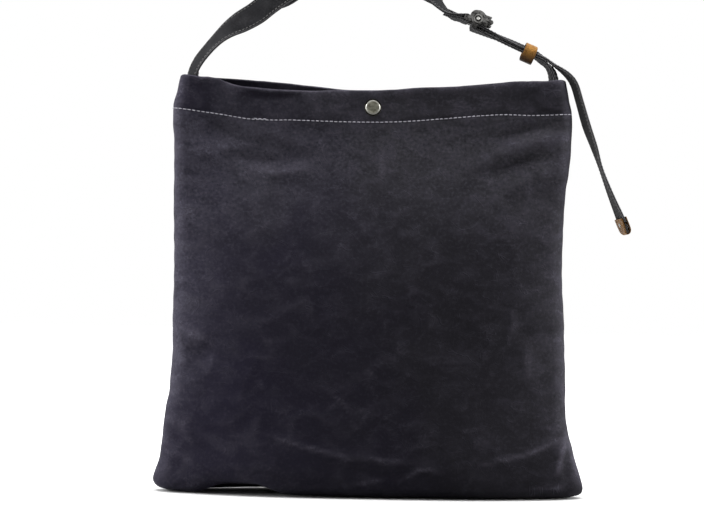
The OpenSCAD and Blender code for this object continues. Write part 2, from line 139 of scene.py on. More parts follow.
class Graph:
    """The nodes of a material or of the world, with short calls to add and join them."""

    def __init__(self, owner):
        owner.use_nodes = True
        self.owner = owner
        self.tree = owner.node_tree
        self.tone = None

    def feed(self, socket, value):
        if isinstance(value, bpy.types.NodeSocket):
            self.tree.links.new(value, socket)
        else:
            socket.default_value = value

    def add(self, kind, inputs, **settings):
        """Outputs of a new node, whose inputs are given by name or number."""
        made = self.tree.nodes.new("ShaderNode" + kind)
        for key, value in settings.items():
            setattr(made, key, value)
        for key, value in inputs.items():
            self.feed(made.inputs[key], value)
        return made.outputs

    def math(self, operation, a, b=0.0, clamp=False):
        return self.add("Math", {0: a, 1: b}, operation=operation, use_clamp=clamp)[0]

    def times(self, a, b, clamp=False):
        return self.math("MULTIPLY", a, b, clamp)

    def plus(self, a, b):
        return self.math("ADD", a, b)

    def length(self, vector):
        return self.add("VectorMath", {0: vector}, operation="LENGTH")["Value"]

    def scaled(self, vector, factors):
        return self.add("VectorMath", {0: vector, 1: factors}, operation="MULTIPLY")[0]

    def parts(self, vector):
        return self.add("SeparateXYZ", {0: vector})

    def noise(self, vector, scale, detail=3.0, distortion=0.0):
        inputs = {"Vector": vector, "Scale": scale, "Detail": detail, "Distortion": distortion}
        return self.add("TexNoise", inputs)["Fac"]

    def span(self, value, low, high, to_low=0.0, to_high=1.0):
        """Maps low to high onto to_low to to_high, level past both ends."""
        inputs = {0: value, 1: low, 2: high, 3: to_low, 4: to_high}
        return self.add("MapRange", inputs)[0]

    def mix(self, factor, a, b):
        return self.add("Mix", {0: factor, 6: a, 7: b}, data_type="RGBA")[2]

    def paint(self, factor, *screen):
        """Lays a screen colour over the tone so far, where the factor says."""
        self.tone = self.mix(factor, self.tone, rgb(*screen))

    def attribute(self, name):
        return self.add("Attribute", {}, attribute_name=name)["Fac"]

    def cloth_map(self):
        """Places on the cloth in millimetres: across and along."""
        return self.scaled(self.add("UVMap", {}, uv_map="Cloth")[0], (1 / MM, 1 / MM, 1 / MM))

    def own_map(self):
        """Places in the frame in millimetres."""
        return self.scaled(self.add("TexCoord", {})["Object"], (1 / MM, 1 / MM, 1 / MM))

    def seen_directly(self):
        """1 for camera, mirror and glass rays, which see a plain white background."""
        rays = self.add("LightPath", {})
        mirrored = self.math("MAXIMUM", rays["Is Camera Ray"], rays["Is Glossy Ray"])
        return self.math("MAXIMUM", mirrored, rays["Is Transmission Ray"])

    def weave(self, place, pitch):
        """Crossing threads, 0 in the gaps and 1 on the crowns."""
        turn = 2 * math.pi / pitch
        across, along = (self.math("SINE", self.times(part, turn)) for part in self.parts(place)[:2])
        crossing = {0: self.times(across, along), 1: 0.5, 2: 0.5}
        return self.add("Math", crossing, operation="MULTIPLY_ADD")[0]

    def creases(self, place):
        """Thin wandering lines, 1 on the line, such as old creases leave."""
        drift = self.noise(self.scaled(place, (1, 1.2, 1)), 0.022, 3, 1.4)
        off = self.math("ABSOLUTE", self.math("SUBTRACT", drift, 0.5))
        return self.span(off, 0.0, 0.012, 1.0, 0.0)

    def finish(self, roughness, height, depth, **others):
        """Joins the tone, roughness, a height in millimetres and any other sockets to the shader."""
        inputs = self.tree.nodes["Principled BSDF"].inputs
        self.feed(inputs["Base Color"], self.tone)
        self.feed(inputs["Roughness"], roughness)
        if height is not None:
            bump = self.add("Bump", {"Height": height, "Strength": 1.0, "Distance": depth * MM})
            self.feed(inputs["Normal"], bump[0])
        for key, value in others.items():
            self.feed(inputs[key.replace("_", " ")], value)
        return self.owner


def new_material(name):
    return Graph(bpy.data.materials.new(name))


def rgb(*screen):
    """A colour as it is read off a screen, 0 to 255, made linear."""
    shares = [value / 255 for value in screen]
    return tuple(c / 12.92 if c < 11 / 255 else ((c + 0.055) / 1.055) ** 2.4 for c in shares) + (1.0,)


def canvas_material():
    """Waxed canvas: a fine weave under uneven wax, mottled and scuffed greyer; paler where its dye has lost
    colour and with painted light where the top slopes back and the sides turn to the lamps; darker with
    painted shade along creases.
    """
    g = new_material("waxed_canvas")
    place = g.cloth_map()
    clouds = g.noise(place, 0.011, 4, 0.6)
    patches = g.noise(g.scaled(place, (0.85, 1.2, 1)), 0.06, 7, 0.5)
    grain = g.noise(place, 0.45, 4)
    streaks = g.noise(g.scaled(place, (0.6, 1.2, 1)), 0.11, 6, 1.0)
    dust = g.noise(place, 0.32, 2)
    weave = g.weave(place, 1.1)
    worn_and_painted_shading = g.attribute("wear_and_painted_shading")
    faded_and_painted_shading = g.attribute("fade_and_painted_shading")

    # The dye: bluer to the lower left; paler with its loss of colour and with painted light on the top and
    # sides, darker with painted shade along creases
    across, _, height = g.parts(g.own_map())
    from_low_left = g.plus(across, g.times(height, 0.3))
    bluer = g.span(g.plus(from_low_left, g.times(clouds, 220.0)), -20, 215, 1.0, 0.0)
    g.tone = g.mix(g.span(clouds, 0.35, 0.68), rgb(28, 27, 31), rgb(35, 34, 39))
    g.paint(g.times(bluer, 0.8), 32, 29, 44)
    pale = g.mix(bluer, rgb(59, 58, 63), rgb(60, 58, 70))
    g.tone = g.mix(g.times(faded_and_painted_shading, g.span(clouds, 0.3, 0.65, 0.75, 1.0)), g.tone, pale)

    # Mottling, dust and pits, which show more where the cloth is paler
    mottled = g.span(faded_and_painted_shading, 0, 1, 0.22, 0.6)
    g.paint(g.times(g.span(patches, 0.47, 0.7), mottled), 62, 60, 69)
    g.paint(g.times(g.span(patches, 0.3, 0.46, 0.6, 0), mottled), 26, 25, 30)
    flecks = g.times(g.span(dust, 0.52, 0.75), g.span(faded_and_painted_shading, 0, 1, 0.07, 0.3))
    g.paint(flecks, 92, 90, 100)
    pits = g.times(g.span(dust, 0.28, 0.47, 1.0, 0.0), g.span(faded_and_painted_shading, 0, 1, 0.14, 0.42))
    g.paint(pits, 20, 19, 23)

    # Scuffs, creases and scuffed pale places; their masks also carry the painted light on the top and sides
    rubbed_and_painted_shading = (98, 95, 108)
    handled_and_painted_shading = g.span(g.plus(worn_and_painted_shading, g.times(faded_and_painted_shading, 0.2)), 0, 0.35, 0.04, 0.6)
    scuff = g.times(g.span(streaks, 0.52, 0.72), g.span(grain, 0.4, 0.65))
    g.paint(g.times(scuff, handled_and_painted_shading), *rubbed_and_painted_shading)
    creased = g.times(g.creases(place), g.span(patches, 0.44, 0.6))
    g.paint(g.times(creased, g.span(worn_and_painted_shading, 0, 0.25, 0.03, 0.3)), *rubbed_and_painted_shading)
    uneven = g.times(g.span(patches, 0.36, 0.62, 0.3, 1.0), g.span(grain, 0.3, 0.62, 0.5, 1.0))
    g.paint(g.times(worn_and_painted_shading, uneven, clamp=True), 122, 118, 132)

    g.paint(g.span(weave, 0, 1, 0.14, 0), 10, 10, 13)
    gloss = g.span(g.plus(patches, grain), 0.7, 1.3, 0.5, 0.72)
    relief = g.plus(g.times(weave, 0.35), g.times(grain, 0.5))
    relief = g.plus(relief, g.times(g.plus(patches, creased), 0.9))
    return g.finish(gloss, relief, 0.3, Specular_IOR_Level=0.025, Sheen_Weight=0.01, Sheen_Roughness=0.5)


def strap_material():
    """Charcoal canvas strap: a coarser weave, paler along its scuffed edges and with painted light down the
    tail, and painted shade in its groove lines.
    """
    g = new_material("strap_canvas")
    place = g.cloth_map()
    weave = g.weave(place, 1.5)
    grain = g.noise(place, 0.5, 4)
    clouds = g.noise(place, 0.06, 3)
    g.tone = g.mix(g.span(clouds, 0.35, 0.65), rgb(27, 27, 29), rgb(40, 40, 42))
    g.paint(g.span(grain, 0.45, 0.8, 0, 0.5), 58, 58, 61)
    # Paler where scuffed at the edges, and painted light down the hanging tail
    rubbed_and_painted_shading = g.times(g.attribute("wear_and_painted_shading"), g.span(grain, 0.35, 0.6, 0.3, 1.0), clamp=True)
    g.paint(rubbed_and_painted_shading, 128, 127, 129)
    # Painted shade between the layers at the edges and under the stitches
    g.paint(g.attribute("fade_and_painted_shading"), 8, 8, 9)
    g.paint(g.span(weave, 0, 1, 0.45, 0), 9, 9, 10)
    gloss = g.span(grain, 0.3, 0.7, 0.6, 0.85)
    relief = g.plus(weave, g.times(grain, 0.4))
    return g.finish(gloss, relief, 0.16, Specular_IOR_Level=0.04, Sheen_Weight=0.01)


def leather_material():
    """Tan vegetable leather: pebbled grain and stained patches, burnished dark at the edges, with painted
    shade low on the keeper and on the tip's inner face.
    """
    g = new_material("tan_leather")
    place = g.cloth_map()
    cells = g.add("TexVoronoi", {"Vector": place, "Scale": 1.3}, feature="DISTANCE_TO_EDGE")[0]
    grain = g.noise(place, 1.1, 4)
    stains_and_painted_shading = g.noise(place, 0.16, 4, 0.7)
    g.tone = g.mix(g.span(stains_and_painted_shading, 0.35, 0.7), rgb(142, 100, 44), rgb(110, 72, 28))
    g.paint(g.span(grain, 0.45, 0.75, 0, 0.45), 158, 118, 58)
    # Dark: burnished edges, and painted shade low on the keeper and on the tip's inner face
    g.paint(g.times(g.attribute("wear_and_painted_shading"), 0.95, clamp=True), 30, 16, 7)
    relief = g.plus(g.span(cells, 0, 0.12), g.times(grain, 0.6))
    return g.finish(g.span(grain, 0.3, 0.7, 0.42, 0.62), relief, 0.12, Specular_IOR_Level=0.12)


def thread_material(name, pale, dark):
    """Twisted thread: fine slanting plies."""
    g = new_material(name)
    place = g.own_map()
    plies = g.weave(g.add("Mapping", {"Vector": place, "Rotation": (0.5, 0.6, 0.8)})[0], 0.9)
    fuzz = g.noise(place, 1.5, 3)
    g.tone = g.mix(g.times(plies, g.span(fuzz, 0.3, 0.7)), rgb(*dark), rgb(*pale))
    return g.finish(g.span(fuzz, 0.3, 0.7, 0.6, 0.85), plies, 0.1, Specular_IOR_Level=0.3)


def metal_material(name, bright, dull, gloss, underside_painted_shade, painted_shade_top=None):
    """Plated metal: brushed and scratched, tarnished in patches, with painted shade on its underside and in
    its recesses.

    A turned piece's fade_and_painted_shading value is painted shade in its recesses and where it meets the
    cloth, and its wear_and_painted_shading value paints it bright: painted highlights, with plating bared by
    rubbing on the cap's rim. Painted shade also darkens it below the height painted_shade_top.
    """
    g = new_material(name)
    place = g.own_map()
    patches = g.noise(place, 0.28, 5, 0.8)
    scratches = g.noise(g.scaled(place, (0.3, 2.0, 4.0)), 0.9, 4)
    g.tone = g.mix(g.span(patches, 0.42, 0.64), rgb(*bright), rgb(*dull))
    g.paint(g.span(scratches, 0.6, 0.8, 0, 0.35), *bright)
    # Painted shade: darker on faces that turn down, and below painted_shade_top
    upward = g.parts(g.add("NewGeometry", {})["Normal"])[2]
    painted_shade = g.span(upward, 0.6, -0.4, 0, underside_painted_shade)
    if painted_shade_top:
        low = g.span(g.parts(place)[2], painted_shade_top, painted_shade_top - 9, 0, 0.85)
        painted_shade = g.math("MAXIMUM", painted_shade, low)
    painted_shade = g.math("MAXIMUM", painted_shade, g.attribute("fade_and_painted_shading"))
    # Painted highlights and painted shade on turned pieces
    g.paint(g.attribute("wear_and_painted_shading"), 218, 217, 212)
    g.paint(painted_shade, 9, 9, 9)
    roughness = g.span(g.plus(patches, scratches), 0.7, 1.3, gloss, gloss + 0.2)
    return g.finish(roughness, scratches, 0.02, Metallic=1.0)


canvas = canvas_material()
strap_cloth = strap_material()
leather = leather_material()
white_thread = thread_material("white_thread", (213, 211, 222), (149, 147, 156))
grey_thread = thread_material("grey_thread", (150, 149, 148), (92, 91, 90))
# The last values: how dark painted shade makes faces that turn down, and for the gunmetal the height below
# which painted shade darkens the buckle
nickel = metal_material("antique_nickel", (138, 137, 124), (100, 98, 86), 0.06, 0.8)
gunmetal = metal_material("gunmetal", (136, 135, 133), (46, 45, 45), 0.16, 0.5, 442)


# Meshes


def add_mesh(name, points, faces, material, places=None, wear_and_painted_shading=None, normals=None):
    """A smooth mesh object from grids or rows of points and cloth places, in millimetres.

    wear_and_painted_shading holds one value a point, or two: these fill the attributes
    wear_and_painted_shading and fade_and_painted_shading, which carry scuffing and paleness together with
    painted light and shade.
    """
    points = np.asarray(points, float).reshape(-1, 3)
    mesh = bpy.data.meshes.new(name)
    mesh.from_pydata((points * MM).tolist(), [], [tuple(int(i) for i in face) for face in faces])
    mesh.shade_smooth()
    if places is not None:
        corner = np.empty(len(mesh.loops), int)
        mesh.loops.foreach_get("vertex_index", corner)
        layer = mesh.uv_layers.new(name="Cloth")
        layer.data.foreach_set("uv", (places.reshape(-1, 2)[corner] * MM).ravel())
    if wear_and_painted_shading is not None:
        for key, values in zip(("wear_and_painted_shading", "fade_and_painted_shading"), wear_and_painted_shading.reshape(len(points), -1).T):
            layer = mesh.attributes.new(key, "FLOAT", "POINT")
            layer.data.foreach_set("value", np.ascontiguousarray(values))
    if normals is not None:
        mesh.normals_split_custom_set_from_vertices(normals.reshape(-1, 3).tolist())
    mesh.materials.append(material)
    made = bpy.data.objects.new(name, mesh)
    scene.collection.objects.link(made)
    return made


def place_piece(piece, how):
    """Rides on a body when how is a name; when how is (body, body, start, end) in metres, these are not used
    and its transform is baked into its mesh.
    """
    if isinstance(how, str):
        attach(piece, how)
    else:
        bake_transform(piece)


def stand_in(piece, how, slot, *nodes):
    """Places a piece instead of some nodes. The slot is not used."""
    place_piece(piece, how)
    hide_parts(*nodes)


def across_faces(rims):
    """Faces across an open end, from a list of the four corners of each, where some corners may be one."""
    once = [list(dict.fromkeys(corners)) for corners in rims]
    return [corners for corners in once if len(corners) > 2]


def shell_faces(rows, cols, flip):
    """Faces of a closed shell: a grid whose rows go out and come back, with both its ends closed."""
    k = np.arange(rows)[:, None]
    j = np.arange(cols - 1)[None, :]
    a = k * cols + j
    b = (k + 1) % rows * cols + j
    quads = np.stack([a, a + 1, b + 1, b], -1).reshape(-1, 4)
    faces = (quads[:, ::-1] if flip else quads).tolist()
    for j in (0, cols - 1):
        pairs = [(k, k + 1, rows - 2 - k, rows - 1 - k) for k in range(rows // 2)]
        ends = across_faces([row * cols + j for row in pair] for pair in pairs)
        faces += ends if (j == 0) != flip else [end[::-1] for end in ends]
    return faces


def tube_faces(rings, around, closed=False):
    """Quads round a tube of rings of points, joined back to the first ring if closed."""
    i = np.arange(rings if closed else rings - 1)[:, None]
    k = np.arange(around)[None, :]
    here, onward, after = i * around, (i + 1) % rings * around, (k + 1) % around
    return np.stack([here + k, onward + k, onward + after, here + after], -1).reshape(-1, 4)


def grid_normals(points):
    """Unit normals of a grid of points."""
    down = np.gradient(points, axis=0)
    over = np.gradient(points, axis=1)
    return unit(np.cross(over, down))


# The sack: two sheets of canvas that meet at the side seams

CANVAS_T = 1.6
HEM_T = 3.2
SHEET_GAP = 0.15
FLOOR_GAP = 0.7
HALF_W = 182
FOOT_Z = 30
BELLY_Z = 42
BELLY_DEPTH = 47
NECK_Z = 339
MOUTH_MID = 5.2
STUD_Z = 357

# Half width by height, then height by place across
LEFT_SIDE = [
    (0, 184), (2, 190), (5.3, 194.5), (9, 196.6), (14, 196.2), (20, 194.2), (26, 192.1), (42, 189.5),
    (59, 188.1), (76, 186.2), (92, 183.2), (109, 182.2), (126, 180.9), (159, 181.2), (192, 180.7),
    (226, 181.2), (260, 182), (292, 182.4), (326, 183.2), (345, 184.6), (355, 184.4), (370, 180.8),
    (386, 177.2),
]
RIGHT_SIDE = [
    (0, 189), (1.7, 196), (3.6, 199), (7.3, 200.6), (12.9, 200), (17, 198.7), (33, 193.3), (50, 188.6),
    (66, 184.9), (83, 183), (100, 182.8), (133, 181.5), (166, 180.1), (199, 178.1), (233, 177.8),
    (266, 178.7), (283, 179.8), (299, 181.9), (316, 183.5), (333, 183.9), (353, 184), (368, 181),
    (386, 177.2),
]
FRONT_TOP = [
    (-178, 384.2), (-163, 381.6), (-147, 380.9), (-137, 377.6), (-125, 374.2), (-110, 372.2),
    (-96, 371), (-65, 371), (-35, 372.2), (-10, 372.8), (12, 373.4), (43, 376), (65, 376.9),
    (87, 378.8), (109, 380.8), (131, 382.7), (150, 383.2), (163, 383.6), (178, 385.4),
]
BACK_TOP = [
    (-178, 384.4), (-163, 384), (-147, 383.2), (-97, 380.2), (-55, 376.6), (-26, 373.8), (-10, 373.4),
    (12, 373.6), (63, 377), (105, 380.6), (131, 382.4), (163, 383.2), (178, 384.8),
]
FRONT_SEAM = [
    (-185, 353.4), (-137, 347.6), (-112, 344), (-100, 343.4), (-74, 343.8), (-19, 343.2), (23, 344.2),
    (64, 347.6), (97, 350.8), (116, 352.2), (143, 352), (184, 353.8),
]
BACK_SEAM = [(-185, 353.4), (-97, 348), (-20, 343.6), (23, 344), (64, 347), (116, 351.4), (184, 353.6)]

# Half depth by height, in the middle and at the sides; how pale the cloth is painted by height, the dye's
# loss of colour with painted light where the top slopes back to the lamps, and along the hem
MID_DEPTH = [(0, 29), (3, 33.5), (8, 39), (16, 43.5), (28, 46.4), (BELLY_Z, BELLY_DEPTH), (70, 46.4)]
END_DEPTH = [(0, 7), (12, 11), (40, 12), (296, 12), (344, 15.5), (386, 15.5)]
PALE_BY_HEIGHT = [(0, 0), (170, 0), (205, 0.02), (234, 0.12), (281, 0.46), (323, 0.92), (345, 0.85), (386, 0.65)]
PALE_ALONG_HEM = [
    (-180, 0.15), (-154, 0.1), (-144, 0.35), (-110, 0.4), (-60, 0.6), (0, 0.62), (40, 0.45), (90, 0.52),
    (120, 0.3), (150, 0.12), (180, 0.12),
]

# Columns of points as shares of the half width, closer where the side turns, and rows as shares of height
ROUND_FROM = 0.93
turn_in = 1 - (1 - ROUND_FROM) * (1 - np.sin(np.linspace(math.pi / 2, 0, 9)))
columns = np.concatenate([turn_in, np.linspace(ROUND_FROM, 0, 60)[1:]])
ACROSS = np.concatenate([-columns, columns[::-1][1:]])
CENTRE = len(ACROSS) // 2
FOOT_ROWS = [0, 0.0025, 0.006, 0.0105, 0.016, 0.023, 0.031, 0.040]
UP_BODY = np.concatenate([FOOT_ROWS, np.linspace(0.05, 0.985, 104), [0.9915, 0.9965, 1]])
UP_HEM = np.concatenate([[0.05, 0.13], np.linspace(0.22, 0.94, 9), [1]])
SEAM_ROW = len(UP_BODY) - 1

# How far apart the sheets lie on the cloth map, so that no two share their marks
SHEET_APART = 500
BASE_APART = 900
INSIDE_APART = 1200.0


def half_depth(a, z):
    """Half depth of the sack at a share a of its half width: a lens that the stud draws in at the mouth."""
    ends = through(END_DEPTH, z)
    rise = np.clip((z - BELLY_Z) / (NECK_Z - BELLY_Z), 0, 1)
    lower = through(MID_DEPTH, z)
    upper = MOUTH_MID + (BELLY_DEPTH - MOUTH_MID) * (0.5 + 0.5 * np.cos(math.pi * rise**2))
    swell = np.where(z < BELLY_Z, lower, upper) - ends
    power = np.where(swell > 0, 3.0, 1.5)
    past = np.clip((np.abs(a) - ROUND_FROM) / (1 - ROUND_FROM), 0, 1)
    return (ends + swell * (1 - np.abs(a) ** power)) * np.sqrt(1 - past**2)


def folds(x, z, creases):
    """Height of creases, the scuffing on their ridges and the painted shade in their valleys; each is (path,
    half width, height, rub_and_painted_shading).

    A negative height is a valley, and a negative rub_and_painted_shading paints shade along it.
    """
    height = np.zeros(x.shape)
    wear_and_painted_shading = np.zeros(x.shape)
    for path, width, rise, rub_and_painted_shading in creases:
        gap, share = along_path(x, z, path)
        taper = np.sin(math.pi * np.clip(share, 0.02, 0.98)) ** 0.6
        height += rise * taper * (0.65 * np.exp(-((gap / width) ** 2)) + 0.35 * np.exp(-gap / width))
        wear_and_painted_shading += rub_and_painted_shading * taper * np.exp(-((gap / (0.35 * width + 0.8)) ** 2))
    return height, wear_and_painted_shading


# Creases of the front; a negative last value is painted shade along a valley
FRONT_FOLDS = [
    ([(182, 60), (177.5, 42), (174, 22)], 4.5, 2.4, 0.4),
    ([(182, 60), (189, 40), (193, 24)], 3.5, 1.8, 0.35),
    ([(183, 46), (183, 30), (184, 12)], 4, -2.8, 0),
    ([(-97, 59), (-60, 48), (-20, 38), (21, 35), (46, 35)], 3.4, 1.5, 0.26),
    ([(-40, 30), (10, 26), (52, 24)], 6, -1.8, 0),
    ([(100, 33), (125, 38), (150, 44), (179, 57)], 3.2, 1.5, 0.3),
    ([(92, 24), (130, 27), (160, 30)], 6, -1.6, 0),
    ([(32, 19), (50, 29), (66, 25)], 2.6, 1.3, 0.3),
    ([(38, 15), (56, 22), (74, 15)], 4, -1.6, -0.3),
    ([(-20, 12.5), (-3, 15), (16, 18.5)], 2.6, 1.1, 0.3),
    ([(150, 12), (166, 13.5), (184, 9)], 2.8, 1.2, 0.24),
    ([(-36, 98), (-24, 88), (-14, 78)], 2.4, 0.7, 0.15),
    ([(-16, 98), (-26, 88), (-38, 80)], 2.4, 0.6, 0.13),
    ([(-14, 78), (2, 82), (14, 90)], 2.2, 0.5, 0.1),
    ([(-108, 112), (-98, 104), (-92, 94)], 2.6, 0.8, 0.14),
    ([(-112, 299), (-90, 295), (-72, 297), (-56, 302)], 6, 2.6, 0.22),
    ([(-132, 310), (-100, 306), (-66, 310)], 7, -3.6, -0.3),
    ([(6, 338), (8, 318), (9, 292)], 3, 0.6, 0.1),
    ([(9, 308), (10, 299), (8, 288)], 5, 0.5, 0.18),
    ([(-139, 320), (-133, 314)], 4, 0.9, 0.24),
    ([(182, 346), (150, 341), (116, 331)], 7, -4.2, -0.5),
    ([(182, 333), (152, 326), (122, 315), (94, 303)], 9, 3.6, 0.06),
    ([(164, 318), (130, 308), (102, 297)], 8, -4.0, -0.4),
    ([(182, 305), (150, 296), (120, 279)], 9, 3.0, 0.06),
    ([(178, 286), (150, 276), (126, 257)], 9, -3.0, 0),
    ([(-164, 347), (-148, 341), (-132, 331)], 6, -3.4, -0.5),
    ([(-120, 338), (-90, 330), (-62, 318)], 8, 2.6, 0.05),
    ([(-106, 328), (-80, 318), (-56, 310)], 7, -2.6, 0),
    ([(-122, 375), (-104, 373), (-86, 372.5), (-64, 373)], 5, 4.5, 0),
    # Painted shade in the undercut below the hem's raised rim, at the left
    ([(-120, 368), (-96, 366.5), (-66, 367)], 6, -1.5, -0.9),
    ([(-184, 384), (-165, 383), (-146, 382)], 9, 2.6, 0),
    ([(116, 383), (150, 385), (186, 387)], 13, 3.4, 0),
    ([(22, 376), (48, 377.5), (74, 379)], 8, 2.0, 0),
    ([(-178, 338), (-150, 330), (-118, 326)], 9, -2.2, 0),
    ([(-180, 322), (-152, 312), (-128, 304)], 8, 1.8, 0.1),
    ([(-180, 303), (-172, 290)], 5, 1.2, 0.3),
    ([(-178, 256), (-174, 238)], 5, 1.4, 0.3),
    ([(-172, 148), (-160, 146), (-146, 140)], 7, 3.0, 0.26),
    ([(-176, 134), (-168, 122), (-172, 112)], 6, 1.6, 0.24),
    ([(-166, 135), (-152, 128), (-138, 127)], 6, -3.4, 0),
    ([(-182, 74), (-166, 62), (-156, 44)], 7, 1.6, 0.12),
    ([(130, 176), (132, 160), (128, 142)], 4, 1.0, 0.12),
    ([(146, 142), (144, 126), (148, 108)], 7, 1.6, 0.18),
    ([(128, 156), (150, 148), (170, 150)], 8, -1.6, 0),
    ([(-188, 26), (-170, 18), (-150, 10)], 6, -2.0, 0),
    ([(-186, 40), (-168, 34), (-150, 24)], 6, 1.4, 0.14),
]
BACK_FOLDS = [
    ([(-178, 330), (-140, 300), (-104, 262)], 10, 2.2, 0.16),
    ([(178, 334), (146, 310), (112, 276)], 10, 2.0, 0.16),
    ([(-120, 46), (-60, 36), (10, 33), (70, 40)], 5, 1.6, 0.45),
    ([(-60, 24), (0, 20), (60, 26)], 6, -1.6, 0),
    ([(-178, 52), (-172, 30), (-168, 12)], 5, 2.2, 0.4),
    ([(178, 50), (172, 30), (168, 12)], 5, 2.2, 0.4),
    ([(-30, 300), (20, 294), (70, 300)], 7, -1.8, 0),
    ([(-20, 130), (4, 116), (20, 96)], 4, 0.9, 0.3),
    ([(96, 180), (120, 160), (132, 132)], 8, 1.5, 0.2),
    ([(-150, 170), (-128, 150), (-118, 122)], 8, -1.6, 0),
]


def sheet_relief(creased, x, z, a, gaps, ridge, seed):
    """Height of the cloth, its creases included: less along the sides and foot, and flat under the stud."""
    swells = 1.7 * rough(x, z, 120, seed, 2)
    ridges = 0.9 * np.clip(ridge, 0, 1) ** 2
    lumps = 0.22 * rough(x, z, 14, seed + 5, 2)
    waves = np.sin(x / 1.7 + 1.5 * rough(x, z, 40, seed + 8, 1))
    stitched_in = 0.75 * np.exp(-((gaps["seam"] / 1.5) ** 2))
    puckers = 0.22 * waves * np.exp(-np.abs(gaps["seam"]) / 5) - stitched_in
    side_waves = np.sin(z / 3.1 + 2 * rough(x, z, 50, seed + 9, 1))
    side_puckers = 0.5 * side_waves * np.exp(-gaps["side"] / 9)
    height = creased + swells + ridges + lumps + puckers + side_puckers
    inward = 1 - ease((np.abs(a) - 0.94) / 0.06)
    near_stud = np.exp(-(((x / 26) ** 2 + ((z - STUD_Z) / 20) ** 2) ** 2))
    return height * (0.25 + 0.75 * inward) * ease(gaps["foot"] / 5) * (1 - 0.95 * near_stud)


def sheet_wear_and_painted_shading(rubbed_and_painted_shading, x, z, gaps, ridge, seed):
    """Scuffing of the cloth with its creases' scuffing and painted shade: on ridges, sides and mouth, and in
    patches high up. The broad band along the sides is painted light where they turn to the lamps.
    """
    on_ridges = 0.05 * np.clip(ridge - 0.82, 0, 1) / 0.18
    # Along the sides: scuffing at the seam, and a broad band of painted light where the sides turn to the
    # lamps
    on_sides = 0.2 * np.exp(-gaps["side"] / 6) + 0.06 * np.exp(-gaps["side"] / 40)
    on_mouth = 0.3 * np.exp(-gaps["mouth"] / 1.6)
    patches = 0.4 + np.clip(rough(x, z, 45, seed + 11, 2) + 0.4, 0, 1)
    return rubbed_and_painted_shading + on_ridges + (on_sides + on_mouth) + 0.03 * ease((z - 230) / 120) * patches


def sheet_paleness(wear_and_painted_shading, x, z, a, gaps, seed):
    """How pale the cloth is painted: high up and at the sides, the dye's loss of colour with painted light
    where the top slopes back and the sides turn to the lamps; low at the left, painted light over the shade
    of the raised edge; along the hem; darker with painted shade along valleys.
    """
    left, right = a < 0, a >= 0
    # Paler high up and at the sides: loss of colour, and painted light where the top slopes back and the
    # sides turn to the lamps
    fade_and_painted_shading = through(PALE_BY_HEIGHT, z) + 1.4 * left * ease((z - 50) / 90) * np.exp(-gaps["side"] / 26)
    fade_and_painted_shading += 0.85 * right * ease((z - 20) / 40) * np.exp(-gaps["side"] / 22)
    # Paler low at the left: painted light over the shade where the front's edge is raised off the floor
    fade_and_painted_shading += 0.55 * ease((-40 - x) / 60) * np.exp(-z / 22)
    fade_and_painted_shading = np.where(gaps["seam"] > 0, through(PALE_ALONG_HEM, x), fade_and_painted_shading)
    uneven = 1 + 0.5 * rough(x, z, 70, seed + 12, 3)
    # Darker along valleys, by painted shade
    return np.clip(fade_and_painted_shading * uneven + np.minimum(wear_and_painted_shading, 0), 0, 1)


def sheet_surface(side, top, seam, lift, creases, seed):
    """The outside of one sheet: points, normals, places on the cloth, and its scuffing and paleness, both
    with painted light and shade.
    """
    x_guess = ACROSS * HALF_W
    z_top = through(top, x_guess) - HEM_T / 2
    z_seam = through(seam, x_guess)
    z_foot = lift(x_guess)
    body = z_foot + (z_seam - z_foot) * UP_BODY[:, None]
    hem = z_seam + (z_top - z_seam) * UP_HEM[:, None]
    z = np.concatenate([body, hem])
    a = np.broadcast_to(ACROSS, z.shape)
    level = np.where(z < FOOT_Z, (z - z_foot) * FOOT_Z / (FOOT_Z - z_foot), z)
    x = a * np.where(a < 0, through(LEFT_SIDE, level), through(RIGHT_SIDE, level))
    y = side * (SHEET_GAP + half_depth(a, level))
    smooth = np.stack([x, y, z], -1)
    gaps = {"seam": z - z_seam, "side": (1 - np.abs(a)) * HALF_W, "foot": z - z_foot, "mouth": z_top - z}
    ridge = 1 - np.abs(rough(x, z * 1.25, 58, seed + 3, 3)) * 1.6
    creased, rubbed_and_painted_shading = folds(x, z, creases)
    height = sheet_relief(creased, x, z, a, gaps, ridge, seed)
    wear_and_painted_shading = sheet_wear_and_painted_shading(rubbed_and_painted_shading, x, z, gaps, ridge, seed)
    fade_and_painted_shading = sheet_paleness(wear_and_painted_shading, x, z, a, gaps, seed)
    points = smooth + grid_normals(smooth) * -side * height[..., None]
    arc = np.cumsum(np.hypot(np.gradient(x, axis=1), np.gradient(y, axis=1)), axis=1)
    return {
        "points": points,
        "normals": grid_normals(points) * -side,
        "places": np.stack([arc - arc[:, [CENTRE]], z + side * SHEET_APART], -1),
        "wear_and_painted_shading": np.stack([np.maximum(wear_and_painted_shading, 0), fade_and_painted_shading], -1),
    }


